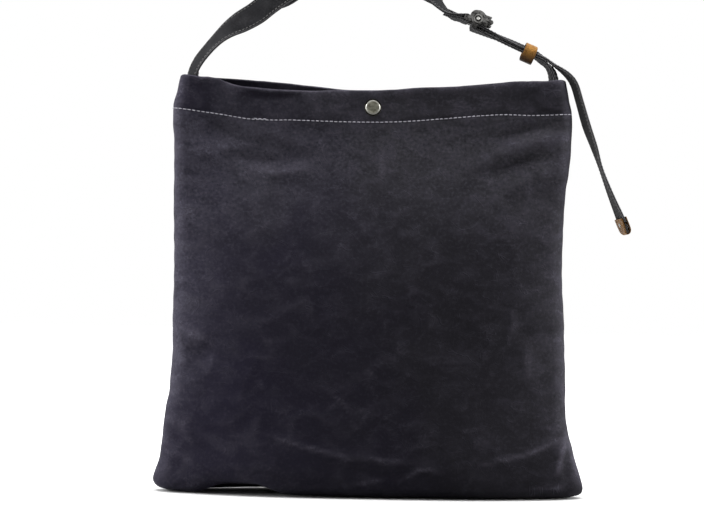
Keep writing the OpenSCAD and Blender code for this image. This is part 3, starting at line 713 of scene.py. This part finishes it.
def shell_object(name, sheet, keep, side):
    """A closed shell of the columns kept: outside, a round mouth edge, and an inside with a turned hem."""
    outside, out, places, wear_and_painted_shading = (sheet[key][:, keep] for key in ("points", "normals", "places", "wear_and_painted_shading"))
    thick = np.where(np.arange(len(outside)) > SEAM_ROW - 2, HEM_T, CANVAS_T)[:, None, None]
    inside = outside - out * thick
    edge = out[-1]
    up = unit(UP - edge * edge[:, [2]])
    mid = (outside[-1] + inside[-1]) / 2
    turns = [math.radians(d) for d in (25, 55, 90, 125, 155)]
    rim_out = np.stack([edge * math.cos(t) + up * math.sin(t) for t in turns])
    rim_places = places[-1] + np.array([0, 1.0]) * np.arange(1, len(turns) + 1)[:, None, None]
    rim_wear = np.tile([0.3, 0.6], (len(turns), len(edge), 1))
    grid = np.concatenate([outside, mid + HEM_T / 2 * rim_out, inside[::-1]])
    return add_mesh(
        name, grid, shell_faces(*grid.shape[:2], flip=side > 0), canvas,
        np.concatenate([places, rim_places, places[::-1] + [0, INSIDE_APART]]),
        np.concatenate([wear_and_painted_shading, rim_wear, 0.15 * wear_and_painted_shading[::-1]]),
        np.concatenate([out, unit(rim_out), -out[::-1]]),
    )


def front_lift(x):
    """Height of the front's bottom edge: raised off the floor at the left, and a little wavy."""
    raised = 9.5 * np.exp(-(((x + 112) / 30) ** 4))
    return FLOOR_GAP + raised + 0.6 * np.sin(x / 31) ** 2


def back_lift(x):
    """Height of the back's bottom edge, a little wavy."""
    return FLOOR_GAP + 0.8 * np.sin(x / 37 + 1) ** 2


front = sheet_surface(-1, FRONT_TOP, FRONT_SEAM, front_lift, FRONT_FOLDS, 2.5)
back = sheet_surface(1, BACK_TOP, BACK_SEAM, back_lift, BACK_FOLDS, 31.5)

# Each half of the front, from its side seam, which stays closed, to the middle
FRONT_BEND = {side: ("bag", "front", (side * 0.177, 0, 0.2), (0, 0, 0.2)) for side in (-1, 1)}
for name, keep, side in (("front_left", slice(CENTRE + 1), -1), ("front_right", slice(CENTRE, None), 1)):
    half = shell_object(name, front, keep, -1)
    stand_in(half, FRONT_BEND[side], "canvas", "front_panel", "front_hem")
back_shell = shell_object("back", back, slice(None), 1)
stand_in(back_shell, "bag", "canvas", "back_panel", "back_hem", "side_seam_left", "side_seam_right")


# Base of the sack

BASE_INSET = (0.985, 0.93, 1)
BASE_BELOW = 0.5


def base_object():
    """The bottom, from one sheet's foot to the other, arched where the front is off the floor."""
    foot_front, foot_back = front["points"][2], back["points"][2]
    t = (np.linspace(-1, 1, 15)[:, None, None] + 1) / 2
    middle = (foot_front * (1 - t) + foot_back * t) * BASE_INSET
    grid = np.concatenate([middle - UP * BASE_BELOW, middle[::-1] + UP * (CANVAS_T - BASE_BELOW)])
    places = grid[..., :2] + [0, BASE_APART]
    faces = shell_faces(*grid.shape[:2], flip=True)
    return add_mesh("base", grid, faces, canvas, places, np.full(grid.shape[:2], 0.1))


stand_in(base_object(), "bag", "canvas", "base_panel")


# Straps: flat strips swept along stations of (place, direction of the width, half width)

STRAP_HALF = 12.5
STRAP_T = 2.2
STITCH_SHARE = 0.79
ANCHOR_X = 167.0
BODY_H = 386.0
RUN_Y = 28.0


def from_corner(side, x, f, z):
    """A place measured from a top corner; f is the share of the way to where the strap runs behind."""
    return np.array([side * ANCHOR_X + x, f * RUN_Y, BODY_H + z])


def onward(points, closed):
    """Direction from the row before to the row after, at each row of points."""
    if closed:
        return np.roll(points, -1, 0) - np.roll(points, 1, 0)
    return np.gradient(points, axis=0)


def strip_path(stations, step=3.5, closed=False):
    """Rings along a smooth curve through the stations: place, width, out, length so far and half width."""
    known = np.array([np.concatenate([p, unit(np.array(w, float)), [h]]) for p, w, h in stations])
    if closed:
        known = np.concatenate([known[-1:], known, known[:2]])
    else:
        known = np.concatenate([2 * known[:1] - known[1:2], known, 2 * known[-1:] - known[-2:-1]])
    rows = []
    for i in range(1, len(known) - 2):
        p0, p1, p2, p3 = known[i - 1 : i + 3]
        count = max(2, int(np.linalg.norm(p2[:3] - p1[:3]) / step))
        for t in np.arange(count) / count:
            bend = 2 * p0 - 5 * p1 + 4 * p2 - p3 + t * (3 * (p1 - p2) + p3 - p0)
            rows.append(p1 + 0.5 * t * (p2 - p0 + t * bend))
    if not closed:
        rows.append(known[-2])
    rows = np.array(rows)
    place = rows[:, :3]
    ahead = unit(onward(place, closed))
    width = unit(rows[:, 3:6] - ahead * np.sum(rows[:, 3:6] * ahead, 1, keepdims=True))
    return {
        "place": place, "width": width, "out": np.cross(ahead, width),
        "length": lengths(place)[1], "half": np.abs(rows[:, 6]),
    }


def cut_above(path, height):
    """A path in two, which share the first ring above a height."""
    at = int(np.argmax(path["place"][:, 2] > height))
    before = {key: value[: at + 1] for key, value in path.items()}
    return before, {key: value[at:] for key, value in path.items()}


# Half faces of the strips' sections, and how far apart both sides lie on the cloth map
UNDERSIDE_APART = 60
STRAP_FACE = [
    (-0.985, 0.55), (-0.95, 0.92), (-0.87, 1.02), (-STITCH_SHARE, 0.8), (-0.72, 1.0), (-0.36, 1.04),
    (0, 1.04),
]
LEATHER_FACE = [(-0.985, 0.5), (-0.94, 0.85), (-0.86, 1.0), (-0.5, 1.0), (0, 1.0)]


def strip_ring(face):
    """Points round a strip's section: half a face, mirrored to the other edge and to the other side."""
    half = np.array(face)
    top = np.concatenate([[(-1, 0)], half, (half * [-1, 1])[::-1][1:], [(1, 0)]])
    return np.concatenate([top, (top * [1, -1])[::-1][1:-1]])


def strip_ends(rings, around):
    """Faces that close both ends of a strip."""
    pairs = [(m, m + 1, around - m - 1, (around - m) % around) for m in range(around // 2)]
    near = across_faces(pairs)
    last = (rings - 1) * around
    return near + [[last + m for m in end[::-1]] for end in near]


def strip_object(name, path, thick, face, material, closed=False, rub_and_painted_shading=0.7, stains_and_painted_shading=0.0, inner_face_shade=0.0):
    """A flat strip along a path; face gives (share of half width, share of half thickness), edge to middle.

    The first value is scuffing along the edges, then stains_and_painted_shading by the place along the path,
    which is painted light down the tail and painted shade low on the keeper, then inner_face_shade, painted
    shade on the inner face. The second is painted shade in the groove lines: between the layers at the edges,
    and under the stitches.
    """
    ring = strip_ring(face)
    over, up = ring.T
    edge = np.abs(over)
    rings, around = len(path["place"]), len(ring)
    lump = np.array([[noise.noise((s / 16, w * 2, 3.7)) for w in over] for s in path["length"]])
    rise = up * thick / 2 * (1 + 0.06 * lump)
    across = over[None, :, None] * path["half"][:, None, None] * path["width"][:, None, :]
    points = path["place"][:, None, :] + across + rise[..., None] * path["out"][:, None, :]
    # Scuffed edges, and painted shading by the place along the path
    wear_and_painted_shading = rub_and_painted_shading * np.clip((edge - 0.9) / 0.085, 0, 1) * (edge < 1) + np.reshape(stains_and_painted_shading, (-1, 1))
    # Random lumps, and inner_face_shade: painted shade on the inner face
    wear_and_painted_shading = wear_and_painted_shading + 0.12 * np.clip(lump, 0, 1) + inner_face_shade * (up > 0.3)
    # Painted shade in the groove lines
    groove_shade = np.where(edge == 1, 0.9, np.where(edge == STITCH_SHARE, 0.7, 0))
    on_cloth = over * path["half"].max() + np.where(up < 0, UNDERSIDE_APART, 0)
    normals = unit(np.cross(onward(points, closed), np.roll(points, -1, 1) - np.roll(points, 1, 1)))
    faces = tube_faces(rings, around, closed).tolist() + ([] if closed else strip_ends(rings, around))
    return add_mesh(
        name, points, faces, material, np.stack(np.broadcast_arrays(on_cloth, path["length"][:, None]), -1),
        np.stack(np.broadcast_arrays(wear_and_painted_shading, groove_shade), -1), normals,
    )


# Stitches: the pitch of a row, its height on the cloth, and the length, radius and thread of each stitch
STRAP_PITCH = 3.6
STRAP_LEVEL = STRAP_T * 0.44
STRAP_STITCH = (2.6, 0.34, grey_thread)
MOUTH_PITCH = 4.25
MOUTH_LEVEL = 0.3
MOUTH_STITCH = (3.2, 0.45, white_thread)


def thread_object(name, places, along, out, length, radius, material):
    """Sewing stitches: short rounded bars whose ends dip into the cloth."""
    lengthways = np.array([-1, -0.72, 0, 0.72, 1])
    girth = np.array([0.35, 0.9, 1, 0.9, 0.35])[:, None]
    dip = np.array([-0.9, 0.15, 0.55, 0.15, -0.9])[:, None]
    rings, sides = len(lengthways), 6
    turn = np.arange(sides) * 2 * math.pi / sides
    side = np.cross(along, out)
    points = (
        places[:, None, None, :]
        + along[:, None, None, :] * (lengthways * length / 2)[None, :, None, None]
        + out[:, None, None, :] * (radius * (dip + girth * np.sin(turn)))[None, :, :, None]
        + side[:, None, None, :] * (radius * girth * np.cos(turn))[None, :, :, None]
    )
    each = rings * sides
    first = (np.arange(len(places)) * each)[:, None, None]
    quads = (first + tube_faces(rings, sides)).reshape(-1, 4).tolist()
    ends = first + np.array([range(sides), range(each - 1, each - 1 - sides, -1)])
    return add_mesh(name, points, quads + ends.reshape(-1, sides).tolist(), material)


def spaced(line, pitch, start):
    """Even places along a line: index before each, share of the way to the next, place and direction."""
    steps, length = lengths(line)
    at = np.arange(start, length[-1] - pitch / 2, pitch)
    i = np.clip(np.searchsorted(length, at, side="right") - 1, 0, len(steps) - 1)
    t = ((at - length[i]) / np.maximum(steps[i], 1e-9))[:, None]
    return i, t, line[i] * (1 - t) + line[i + 1] * t, unit(line[i + 1] - line[i])


def strap_stitches(name, path):
    """Two rows of stitches on each face of a strap."""
    rows = []
    for share in (-STITCH_SHARE, STITCH_SHARE):
        for face in (-1, 1):
            line = path["place"] + path["width"] * (share * path["half"])[:, None]
            line = line + face * path["out"] * STRAP_LEVEL
            i, t, places, along = spaced(line, STRAP_PITCH, start=1.2)
            out = unit(path["out"][i] * (1 - t) + path["out"][i + 1] * t) * face
            rows.append((places, along, out))
    return thread_object(name, *(np.concatenate(part) for part in zip(*rows)), *STRAP_STITCH)


def strap_piece(name, path, how, node, rub_and_painted_shading=0.7, stains_and_painted_shading=0.0):
    """A stretch of strap with its stitches, in a node's place."""
    strip = strip_object(name, path, STRAP_T, STRAP_FACE, strap_cloth, rub_and_painted_shading=rub_and_painted_shading, stains_and_painted_shading=stains_and_painted_shading)
    stand_in(strip, how, "strap_cloth", node)
    place_piece(strap_stitches(name + "_stitches", path), how)


def tilted(p, share, slope):
    """A station of the rising strap: share of its width shows, square to its slope in degrees."""
    s = math.radians(slope)
    width = share * np.array([-math.sin(s), 0, math.cos(s)]) + math.sqrt(1 - share**2) * BACK_WAY
    return (np.array(p, float), width, STRAP_HALF)


def flat(p, width=BACK_WAY):
    """A station whose width lies in a given direction."""
    return (np.asarray(p, float), np.array(width, float), STRAP_HALF)


# The long strap: up from the left corner, over and down behind, across the back, and up to the buckle
RISE_LEFT = [
    ((-169.5, 0, 352), 0.34, 86), ((-168.8, 0, 372), 0.36, 84), ((-167.2, 0, 386), 0.40, 72),
    ((-161.7, 0, 398), 0.44, 58), ((-152, 0, 410.5), 0.46, 50), ((-143, 0, 420), 0.54, 43),
    ((-134, 0, 427.6), 0.70, 36), ((-123.5, 0, 434.2), 0.86, 32), ((-110, 0, 442.4), 0.91, 34),
    ((-99, 1, 451.6), 0.92, 40),
]
TURN_LEFT = [
    ((80, 0.1, 76), (-0.63, 0.2, 0.77)), ((90, 0.29, 84), (-0.63, 0, 0.77)),
    ((93, 0.54, 86.5), (-0.63, 0, 0.77)), ((90, 0.79, 84), (-0.63, 0, 0.77)),
    ((80, 0.96, 76.5), (-0.6, 0.4, 0.7)), ((69, 1, 68), (-0.4, 0.8, 0.45)),
    ((57, 1, 58.5), (-0.2, 0.95, 0.2)),
]
DROP_LEFT = [(44, 1, 51), (33, 1, 44), (24, 1, 36.5), (13, 1, 27), (4, 1, 15), (1, 1.02, 5), (2, 1.04, -10)]
left_side = (
    [tilted(*station) for station in RISE_LEFT]
    + [flat(from_corner(-1, *place), width) for place, width in TURN_LEFT]
    + [flat(from_corner(-1, *place)) for place in DROP_LEFT]
)
HANG = [(0.97, 36, -36), (0.92, 40, -76), (0.8, 46, -118), (0.6, 52, -156), (0.3, 58, -188), (0, 60, -198)]
hanging = [flat((-ANCHOR_X * share, y, BODY_H + z)) for share, y, z in HANG]
hanging += [flat((ANCHOR_X * share, y, BODY_H + z)) for share, y, z in HANG[-2::-1]]
CLIMB_RIGHT = [
    (-2, -10), (0, 4), (-3, 14.5), (-9, 19.5), (-17, 25.5), (-29, 31), (-46, 39), (-63, 47), (-75, 54),
    (-87, 60), (-97, 64.5),
]
TURN_RIGHT = [
    ((-105, 1, 71), (0.23, 0.95, 0.2)), ((-112, 1, 79), (0.5, 0.7, 0.45)),
    ((-118, 0.96, 86), (0.7, 0.35, 0.6)), ((-123, 0.79, 92), (0.75, 0, 0.66)),
    ((-125, 0.5, 94), (0.75, 0, 0.66)), ((-123, 0.21, 91), (0.75, 0.1, 0.66)),
    ((-119, 0.05, 84), (0.6, 0.5, 0.5)),
]
TO_BUCKLE = [
    ((51.5, 0.3, 463.5), 0.6, -50), ((57.9, 0, 455.7), 0.42, -46), ((65.5, 0, 448.2), 0.26, -38),
    ((70, 0, 445.2), 0.1, -24),
]
right_side = (
    [flat(from_corner(1, x, 1, z)) for x, z in CLIMB_RIGHT]
    + [flat(from_corner(1, *place), width) for place, width in TURN_RIGHT]
    + [tilted(*station) for station in TO_BUCKLE]
    + [flat((74.4, 0, 443.7)), flat((79.3, 0, 443.6))]
)

# The buckle's bars, and the long strap's end folded round the upper one
BAR_GAP = 0.15
PIN = np.array([95.0, 0, 440.0])
END_BAR = PIN + [-10.4, 0, 1]
END_BAR_R = 1.5
WRAP_FROM_PIN = 7.155
WRAP_BAR = PIN + WRAP_FROM_PIN * np.array([-1, 0, -2]) / math.sqrt(5)
WRAP_BAR_R = 1
WRAP_R = WRAP_BAR_R + BAR_GAP + STRAP_T / 2


def round_bar(bar, radius, degrees):
    """Stations round a bar, by the angles at which they lie."""
    turns = [math.radians(d) for d in degrees]
    return [flat(bar + radius * np.array([math.cos(t), 0, math.sin(t)])) for t in turns]


end_fold = round_bar(END_BAR, END_BAR_R + BAR_GAP + STRAP_T / 2, range(105, -106, -35)) + [
    flat((80.4, 0, 439.9)), flat((77.4, 0, 440.9)), flat((74.2, 0, 441.45)), tilted((69, 0, 443.2), 0.1, -24),
    tilted((64.6, 0, 446), 0.26, -38),
]
long_path = strip_path(left_side + hanging + right_side + end_fold)

# The short strap: up to the buckle, round its lower bar and back down, as a sloping doubled band
KEEPER_W = 11.5
BAND_SLOPE = 22.6
BAND_L = 56.4
slope = math.radians(BAND_SLOPE)
BAND = np.array([math.cos(slope), 0, -math.sin(slope)])
BAND_UP = np.array([math.sin(slope), 0, math.cos(slope)])
PAIR_R = STRAP_T / 2 + BAR_GAP
PAST_KEEPER = 1.2
UPPER_END = BAND_L + KEEPER_W / 2 + PAST_KEEPER
ROLL = math.radians(12)
ROLLED_BY = 40


def rolled(turn):
    """Direction across the band where it has rolled towards the front."""
    return BACK_WAY * math.cos(turn) + BAND_UP * math.sin(turn)


def on_band(along, layer):
    """A station of the doubled strap, which rolls towards the front on its way to the keeper."""
    up = WRAP_R + (PAIR_R - WRAP_R) * min(1, along / BAND_L)
    return flat(WRAP_BAR + along * BAND + layer * up * BAND_UP, rolled(ROLL * min(1, along / ROLLED_BY)))


short_root = [
    flat((170.6, 0, 352), (0.12, 0.98, 0)), flat((170.4, 0, 372), (0.16, 0.98, 0)),
    flat((168.6, 0, 388), (0.2, 0.97, 0.1)), flat((164.4, 0, 397), (0.16, 0.97, 0.14)),
    flat((157, 0, 403), BACK_WAY * 0.99 + BAND_UP * 0.07),
]
wrap_turn = round_bar(WRAP_BAR, WRAP_R, [d - BAND_SLOPE for d in range(270, 89, -30)])
ON_BAND = (UPPER_END, ROLLED_BY, 16)
short_path = strip_path(
    short_root + [on_band(s, -1) for s in ON_BAND] + wrap_turn + [on_band(s, 1) for s in ON_BAND[::-1]]
)

# The hanging tail: places from the right corner, and the share of its width that shows
TAIL = [
    (-8, 19.5, 0.12), (-0.5, 14.2, 0.1), (11.4, 5.8, -0.03), (18.8, -3.6, -0.1), (24.2, -20, -0.11),
    (31, -42, -0.13), (38.6, -62, -0.06), (45, -81, 0.05), (53.6, -103, -0.02), (64, -127, -0.13),
]
tail_places = [from_corner(1, x, 0, z) for x, z, _ in TAIL]
tail_end = tail_places[-1]
TAIL_ALONG = unit(tail_end - tail_places[-2])
TAIL_OUT = np.array([-TAIL_ALONG[2], 0, TAIL_ALONG[0]])
TIP_ACROSS = BACK_WAY * math.sqrt(1 - TAIL[-1][2] ** 2) + TAIL_OUT * TAIL[-1][2]


def on_tail(i):
    """A station of the hanging tail, which twists."""
    along = tail_places[min(i + 1, len(TAIL) - 1)] - tail_places[max(i - 1, 0)]
    return tilted(tail_places[i], TAIL[i][2], math.degrees(math.atan2(along[2], along[0])))


tail_path = strip_path(
    [on_band(UPPER_END, 1)]
    + [on_tail(i) for i in range(len(TAIL))]
    + [flat(tail_end + 4 * TAIL_ALONG, TIP_ACROSS)]
)

# Each strap is cut in two at its root, between the bag and the swinging strap
TAIL_BEND = 0.03
root_left, rest_left = cut_above(long_path, height=412)
bend_left = ("bag", "strap", (-0.165, 0, 0.386), (-0.165, 0, 0.411))
strap_piece("strap_root_left", root_left, bend_left, "strap_anchor_left")
strap_piece("strap_long", rest_left, "strap", "shoulder_strap")
root_right, rest_right = cut_above(short_path, height=406)
bend_right = ("bag", "strap", (0.165, 0, 0.386), (0.165, 0, 0.4055))
strap_piece("strap_root_right", root_right, bend_right, "strap_anchor_right")
strap_piece("strap_short", rest_right, "strap", "adjuster_strap")
tail_joint = on_band(UPPER_END + 0.8, 1)[0] * MM
bend_tail = ("strap", "tail", tuple(tail_joint), tuple(tail_joint + TAIL_ALONG * TAIL_BEND))
# The hanging tail painted paler down its length: painted light where it catches the lamps
tail_painted_light = 0.25 * ease(tail_path["length"] / 20)
strap_piece("strap_tail_end", tail_path, bend_tail, "strap_tail", rub_and_painted_shading=1.2, stains_and_painted_shading=tail_painted_light)


# Leather keeper and tip

# The keeper's leather, then its height, its top over the band, its half sizes and its roundness
KEEPER_T = 1.8
KEEPER_H = 11.4
KEEPER_TOP = 3.55
KEEPER_HALF = (15.4, 7.6)
KEEPER_ROUND = 0.6

# The tip's place along, half thickness and half width, up to its fold, which is mirrored
TIP_T = 1.5
TIP_OUTLINE = [
    (-0.4, 2.0, 12.6), (3, 2.05, 12.5), (6, 2.1, 12.2), (9, 2.25, 11.4), (11.5, 2.4, 10),
    (13.4, 2.1, 8.4), (14.7, 1.3, 7),
]
TIP_FOLD = (15.2, 0, 6.4)


def keeper_object():
    """A loop of leather round both layers, its sides bellied out, with painted shade deepening towards its
    bottom.
    """
    middle = WRAP_BAR + BAND_L * BAND + (KEEPER_TOP - KEEPER_H / 2) * BAND_UP
    up = BAND_UP * math.cos(ROLL) - BACK_WAY * math.sin(ROLL)
    stations = []
    for d in range(0, 360, 12):
        c, s = math.cos(math.radians(d)), math.sin(math.radians(d))
        y = KEEPER_HALF[0] * math.copysign(abs(c) ** KEEPER_ROUND, c)
        z = KEEPER_HALF[1] * math.copysign(abs(s) ** KEEPER_ROUND, s)
        stations.append((middle + y * rolled(ROLL) + z * up, BAND, KEEPER_W / 2))
    path = strip_path(stations, step=1.6, closed=True)
    # Painted shade on the lower half of the loop
    handled_and_painted_shading = ease((middle[2] - path["place"][:, 2]) / 8)
    return strip_object("keeper", path, KEEPER_T, LEATHER_FACE, leather, closed=True, rub_and_painted_shading=0.6, stains_and_painted_shading=handled_and_painted_shading)


def tip_object():
    """Leather folded round the end of the tail, with an open eye at the fold, and painted shade on its inner
    face.
    """
    outline = TIP_OUTLINE + [TIP_FOLD] + [(x, -z, half) for x, z, half in TIP_OUTLINE[::-1]]
    stations = [(tail_end + x * TAIL_ALONG - z * TAIL_OUT, TIP_ACROSS, half) for x, z, half in outline]
    path = strip_path(stations, step=0.9)
    return strip_object("tip", path, TIP_T, LEATHER_FACE, leather, rub_and_painted_shading=0.6, inner_face_shade=0.75)


stand_in(keeper_object(), "keeper", "tan_leather", "strap_keeper")
stand_in(tip_object(), "tail", "tan_leather", "strap_tip")


# Stitching along the mouth


def mouth_stitches(sheet):
    """Places, directions and outward normals of the stitches along the mouth."""
    out = sheet["normals"][SEAM_ROW, 1:-1]
    line = sheet["points"][SEAM_ROW, 1:-1] + out * MOUTH_LEVEL
    i, _, places, along = spaced(line, MOUTH_PITCH, start=1.0)
    return places, along, out[i]


front_stitches = mouth_stitches(front)
for name, side in (("mouth_stitches_left", -1), ("mouth_stitches_right", 1)):
    keep = front_stitches[0][:, 0] * side >= 0
    half = thread_object(name, *(part[keep] for part in front_stitches), *MOUTH_STITCH)
    place_piece(half, FRONT_BEND[side])
place_piece(thread_object("mouth_stitches_back", *mouth_stitches(back), *MOUTH_STITCH), "bag")

# A few stitches sewn back over the row, at the left
TACK_FROM, TACK_TO = -112, -98
TACK_SHIFT = (2.1, 0, 0.75)
tack = np.array([place for place in front_stitches[0] + TACK_SHIFT if TACK_FROM < place[0] < TACK_TO])
tack_along = np.tile(unit(np.array([0.99, 0, -0.06])), (len(tack), 1))
tack_out = np.tile(-BACK_WAY, (len(tack), 1))
place_piece(thread_object("back_tack", tack, tack_along, tack_out, *MOUTH_STITCH), FRONT_BEND[-1])


# Turned metal: the press stud's cap, the buckle's pin and the tip's rivet

# The press stud's cap: bright round the rim, plating bared by rubbing and a painted highlight; a dark collar
# beyond the rim is painted shadow where the cap meets the cloth
CAP_PROFILE = [
    (0.6, 2.5, 0), (2, 2.48, 0), (3.4, 2.42, 0), (4.4, 2.3, 0), (5.2, 2.1, 0.05), (5.9, 1.8, 0.35),
    (6.5, 1.4, 0.45), (6.9, 1.0, 0.4), (7.2, 0.55, 0), (7.3, 0.3, -0.4), (7.25, 0.15, -0.95),
    (8.0, 0.12, -0.95), (8.2, -0.1, -0.95), (6.9, -0.25, -0.95), (6.2, -0.3, 0), (4, -0.3, 0),
    (2.02, -0.3, 0),
]


def turned(name, profile, centre, axis, material, count=48):
    """A turned piece: profile gives (radius, place along the axis, rub_and_painted_shading) from one end to
    the other.

    A negative rub_and_painted_shading is painted shade, and a positive one paints the metal bright: painted
    highlights, with plating bared by rubbing on the cap's rim.
    """
    rows = np.array(profile, float)
    axis = unit(np.array(axis, float))
    side = unit(np.cross(axis, UP))
    turns = np.arange(count)[:, None] * 2 * math.pi / count
    spoke = np.cos(turns) * side + np.sin(turns) * np.cross(axis, side)
    points = np.array(centre) + rows[:, None, 1:2] * axis + rows[:, None, :1] * spoke
    quads = tube_faces(len(rows), count)[:, [0, 3, 2, 1]].tolist()
    ends = [list(range(count))[::-1], [(len(rows) - 1) * count + j for j in range(count)]]
    rub_and_painted_shading = np.repeat(rows[:, 2], count)
    wear_and_painted_shading = np.stack([np.maximum(rub_and_painted_shading, 0), np.maximum(-rub_and_painted_shading, 0)], -1)
    return add_mesh(name, points, quads + ends, material, wear_and_painted_shading=wear_and_painted_shading)


def both_ends(profile):
    """A profile and its mirror image at the other end of the axis."""
    return [(radius, -place, rub_and_painted_shading) for radius, place, rub_and_painted_shading in profile[::-1]] + profile


def middle_of(node):
    """Middle and half size of a CAD node's box, in millimetres."""
    low, high = (np.array(corner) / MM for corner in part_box(node))
    return (low + high) / 2, (high - low) / 2


def cap_object():
    """A domed cap with a dark collar, painted shadow where it presses into the cloth, on the barrel that goes
    through it.
    """
    middle, half = middle_of("snap_cap")
    cloth = front["points"].reshape(-1, 3)
    face = cloth[np.argmin(np.hypot(cloth[:, 0], cloth[:, 2] - STUD_Z)), 1]
    depth = middle[1] + half[1] - face
    profile = [(0.6, -depth, 0), (2.02, -depth, 0)] + CAP_PROFILE[::-1]
    return turned("cap", profile, (middle[0], face, middle[2]), (0, -1, 0), nickel)


def pin_object():
    """The buckle's pin: a rimmed washer and a rounded end outside each cheek, painted with highlights and
    shade.
    """
    middle, half = middle_of("buckle_pin")
    end = half[1]
    # Dark rings of painted shade, and painted highlights on the washer's rim and the end's dome
    outer = [
        (1.72, end, -0.9), (4.3, end + 0.05, -0.9), (4.5, end + 0.2, -0.8), (4.3, end + 0.45, -0.6),
        (3.6, end + 0.5, 0.2), (3.2, end + 0.5, 0.2), (2.9, end + 0.2, -0.9), (1.75, end + 0.1, -0.95),
        (1.5, end + 0.4, -0.3), (1.05, end + 0.75, 0.9), (0.3, end + 0.85, 1),
    ]
    return turned("pin", both_ends(outer), middle, (0, -1, 0), gunmetal)


def rivet_object():
    """The tip's rivet: two domed heads on a shank, their tops painted bright as a highlight."""
    head = [(1.0, 2.5, 0), (2.0, 2.6, 0.2), (2.15, 2.9, 0.5), (1.9, 3.3, 0.9), (1.2, 3.65, 1), (0.3, 3.8, 1)]
    middle, _ = middle_of("tip_rivet")
    return turned("rivet", both_ends(head), middle, np.cross(TAIL_ALONG, TIP_ACROSS), nickel, 24)


stand_in(cap_object(), "front", "nickel", "snap_cap")
stand_in(pin_object(), "strap", "gunmetal", "buckle_pin")
stand_in(rivet_object(), "tail", "nickel", "tip_rivet")


# Metal that keeps its CAD shape, and the buckle's two pieces with edges rounded off by use

WORN_EDGE = 0.3
SHARP_DEG = 35


def coat(piece, material):
    """Gives a piece one material."""
    piece.data.materials.clear()
    piece.data.materials.append(material)


def worn_copy(node, body):
    """A copy of a CAD piece, its sharp edges rounded off by use, that stands in the node's place."""
    made = bpy.data.objects.new(node + "_worn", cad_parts[node].data.copy())
    scene.collection.objects.link(made)
    bevel = made.modifiers.new("worn_edges", "BEVEL")
    bevel.width = WORN_EDGE * MM
    bevel.segments = 2
    bevel.limit_method = "ANGLE"
    bevel.angle_limit = math.radians(SHARP_DEG)
    coat(made, gunmetal)
    stand_in(made, body, "gunmetal", node)


for node in ("snap_socket", "snap_spring", "snap_stud", "snap_post"):
    coat(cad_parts[node], nickel)
coat(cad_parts["end_bar"], gunmetal)
worn_copy("buckle_frame", "strap")
worn_copy("buckle_lever", "lever")


# Stage and light

WHITE = (1, 1, 1, 1)


def floor_material():
    """Pale floor that keeps a shadow near the bag and lifts to white away from it."""
    g = new_material("pale_floor")
    seen = g.seen_directly()
    place = g.own_map()
    beside = g.span(g.length(g.scaled(place, (0.27, 1, 1))), 50, 76, 0.0, 0.45)
    lift = g.math("MAXIMUM", beside, g.span(g.length(place), 300, 800))
    g.tone = g.mix(seen, (0.35, 0.35, 0.35, 1), (0.86, 0.86, 0.86, 1))
    glow = {"Emission_Color": WHITE, "Emission_Strength": g.times(seen, lift)}
    return g.finish(0.9, None, 0, Specular_IOR_Level=0.0, **glow)


FLOOR_HALF = 4000
floor_corners = [(x * FLOOR_HALF, y * FLOOR_HALF, -0.2) for x, y in ((-1, -1), (1, -1), (1, 1), (-1, 1))]
add_mesh("floor", floor_corners, [(0, 1, 2, 3)], floor_material())


def light_world():
    """A world that is white where it is seen, and gives only a dim even light."""
    scene.world = bpy.data.worlds.new("studio")
    g = Graph(scene.world)
    background = g.tree.nodes["Background"].inputs
    g.feed(background["Color"], WHITE)
    g.feed(background["Strength"], g.span(g.seen_directly(), 0, 1, 0.08, 1.0))


def softbox(name, place, aim, size, power, mirrored=True):
    """A square light at a place, turned to its aim, that shiny metal mirrors or not."""
    light = bpy.data.lights.new(name, "AREA")
    light.shape = "RECTANGLE"
    light.size, light.size_y = size
    light.energy = power
    made = bpy.data.objects.new(name, light)
    made.location = place
    made.rotation_euler = (Vector(aim) - Vector(place)).to_track_quat("-Z", "Y").to_euler()
    made.visible_glossy = mirrored
    scene.collection.objects.link(made)


light_world()
softbox("left_softbox", (-1.7, -0.2, 0.6), (0, 0, 0.2), (0.7, 1.3), 30)
softbox("right_softbox", (1.7, -0.2, 0.6), (0, 0, 0.2), (0.7, 1.3), 25)
softbox("top_softbox", (0, -0.1, 1.9), (0, 0, 0.2), (2.2, 1.4), 68, mirrored=False)
scene.view_settings.view_transform = "Standard"
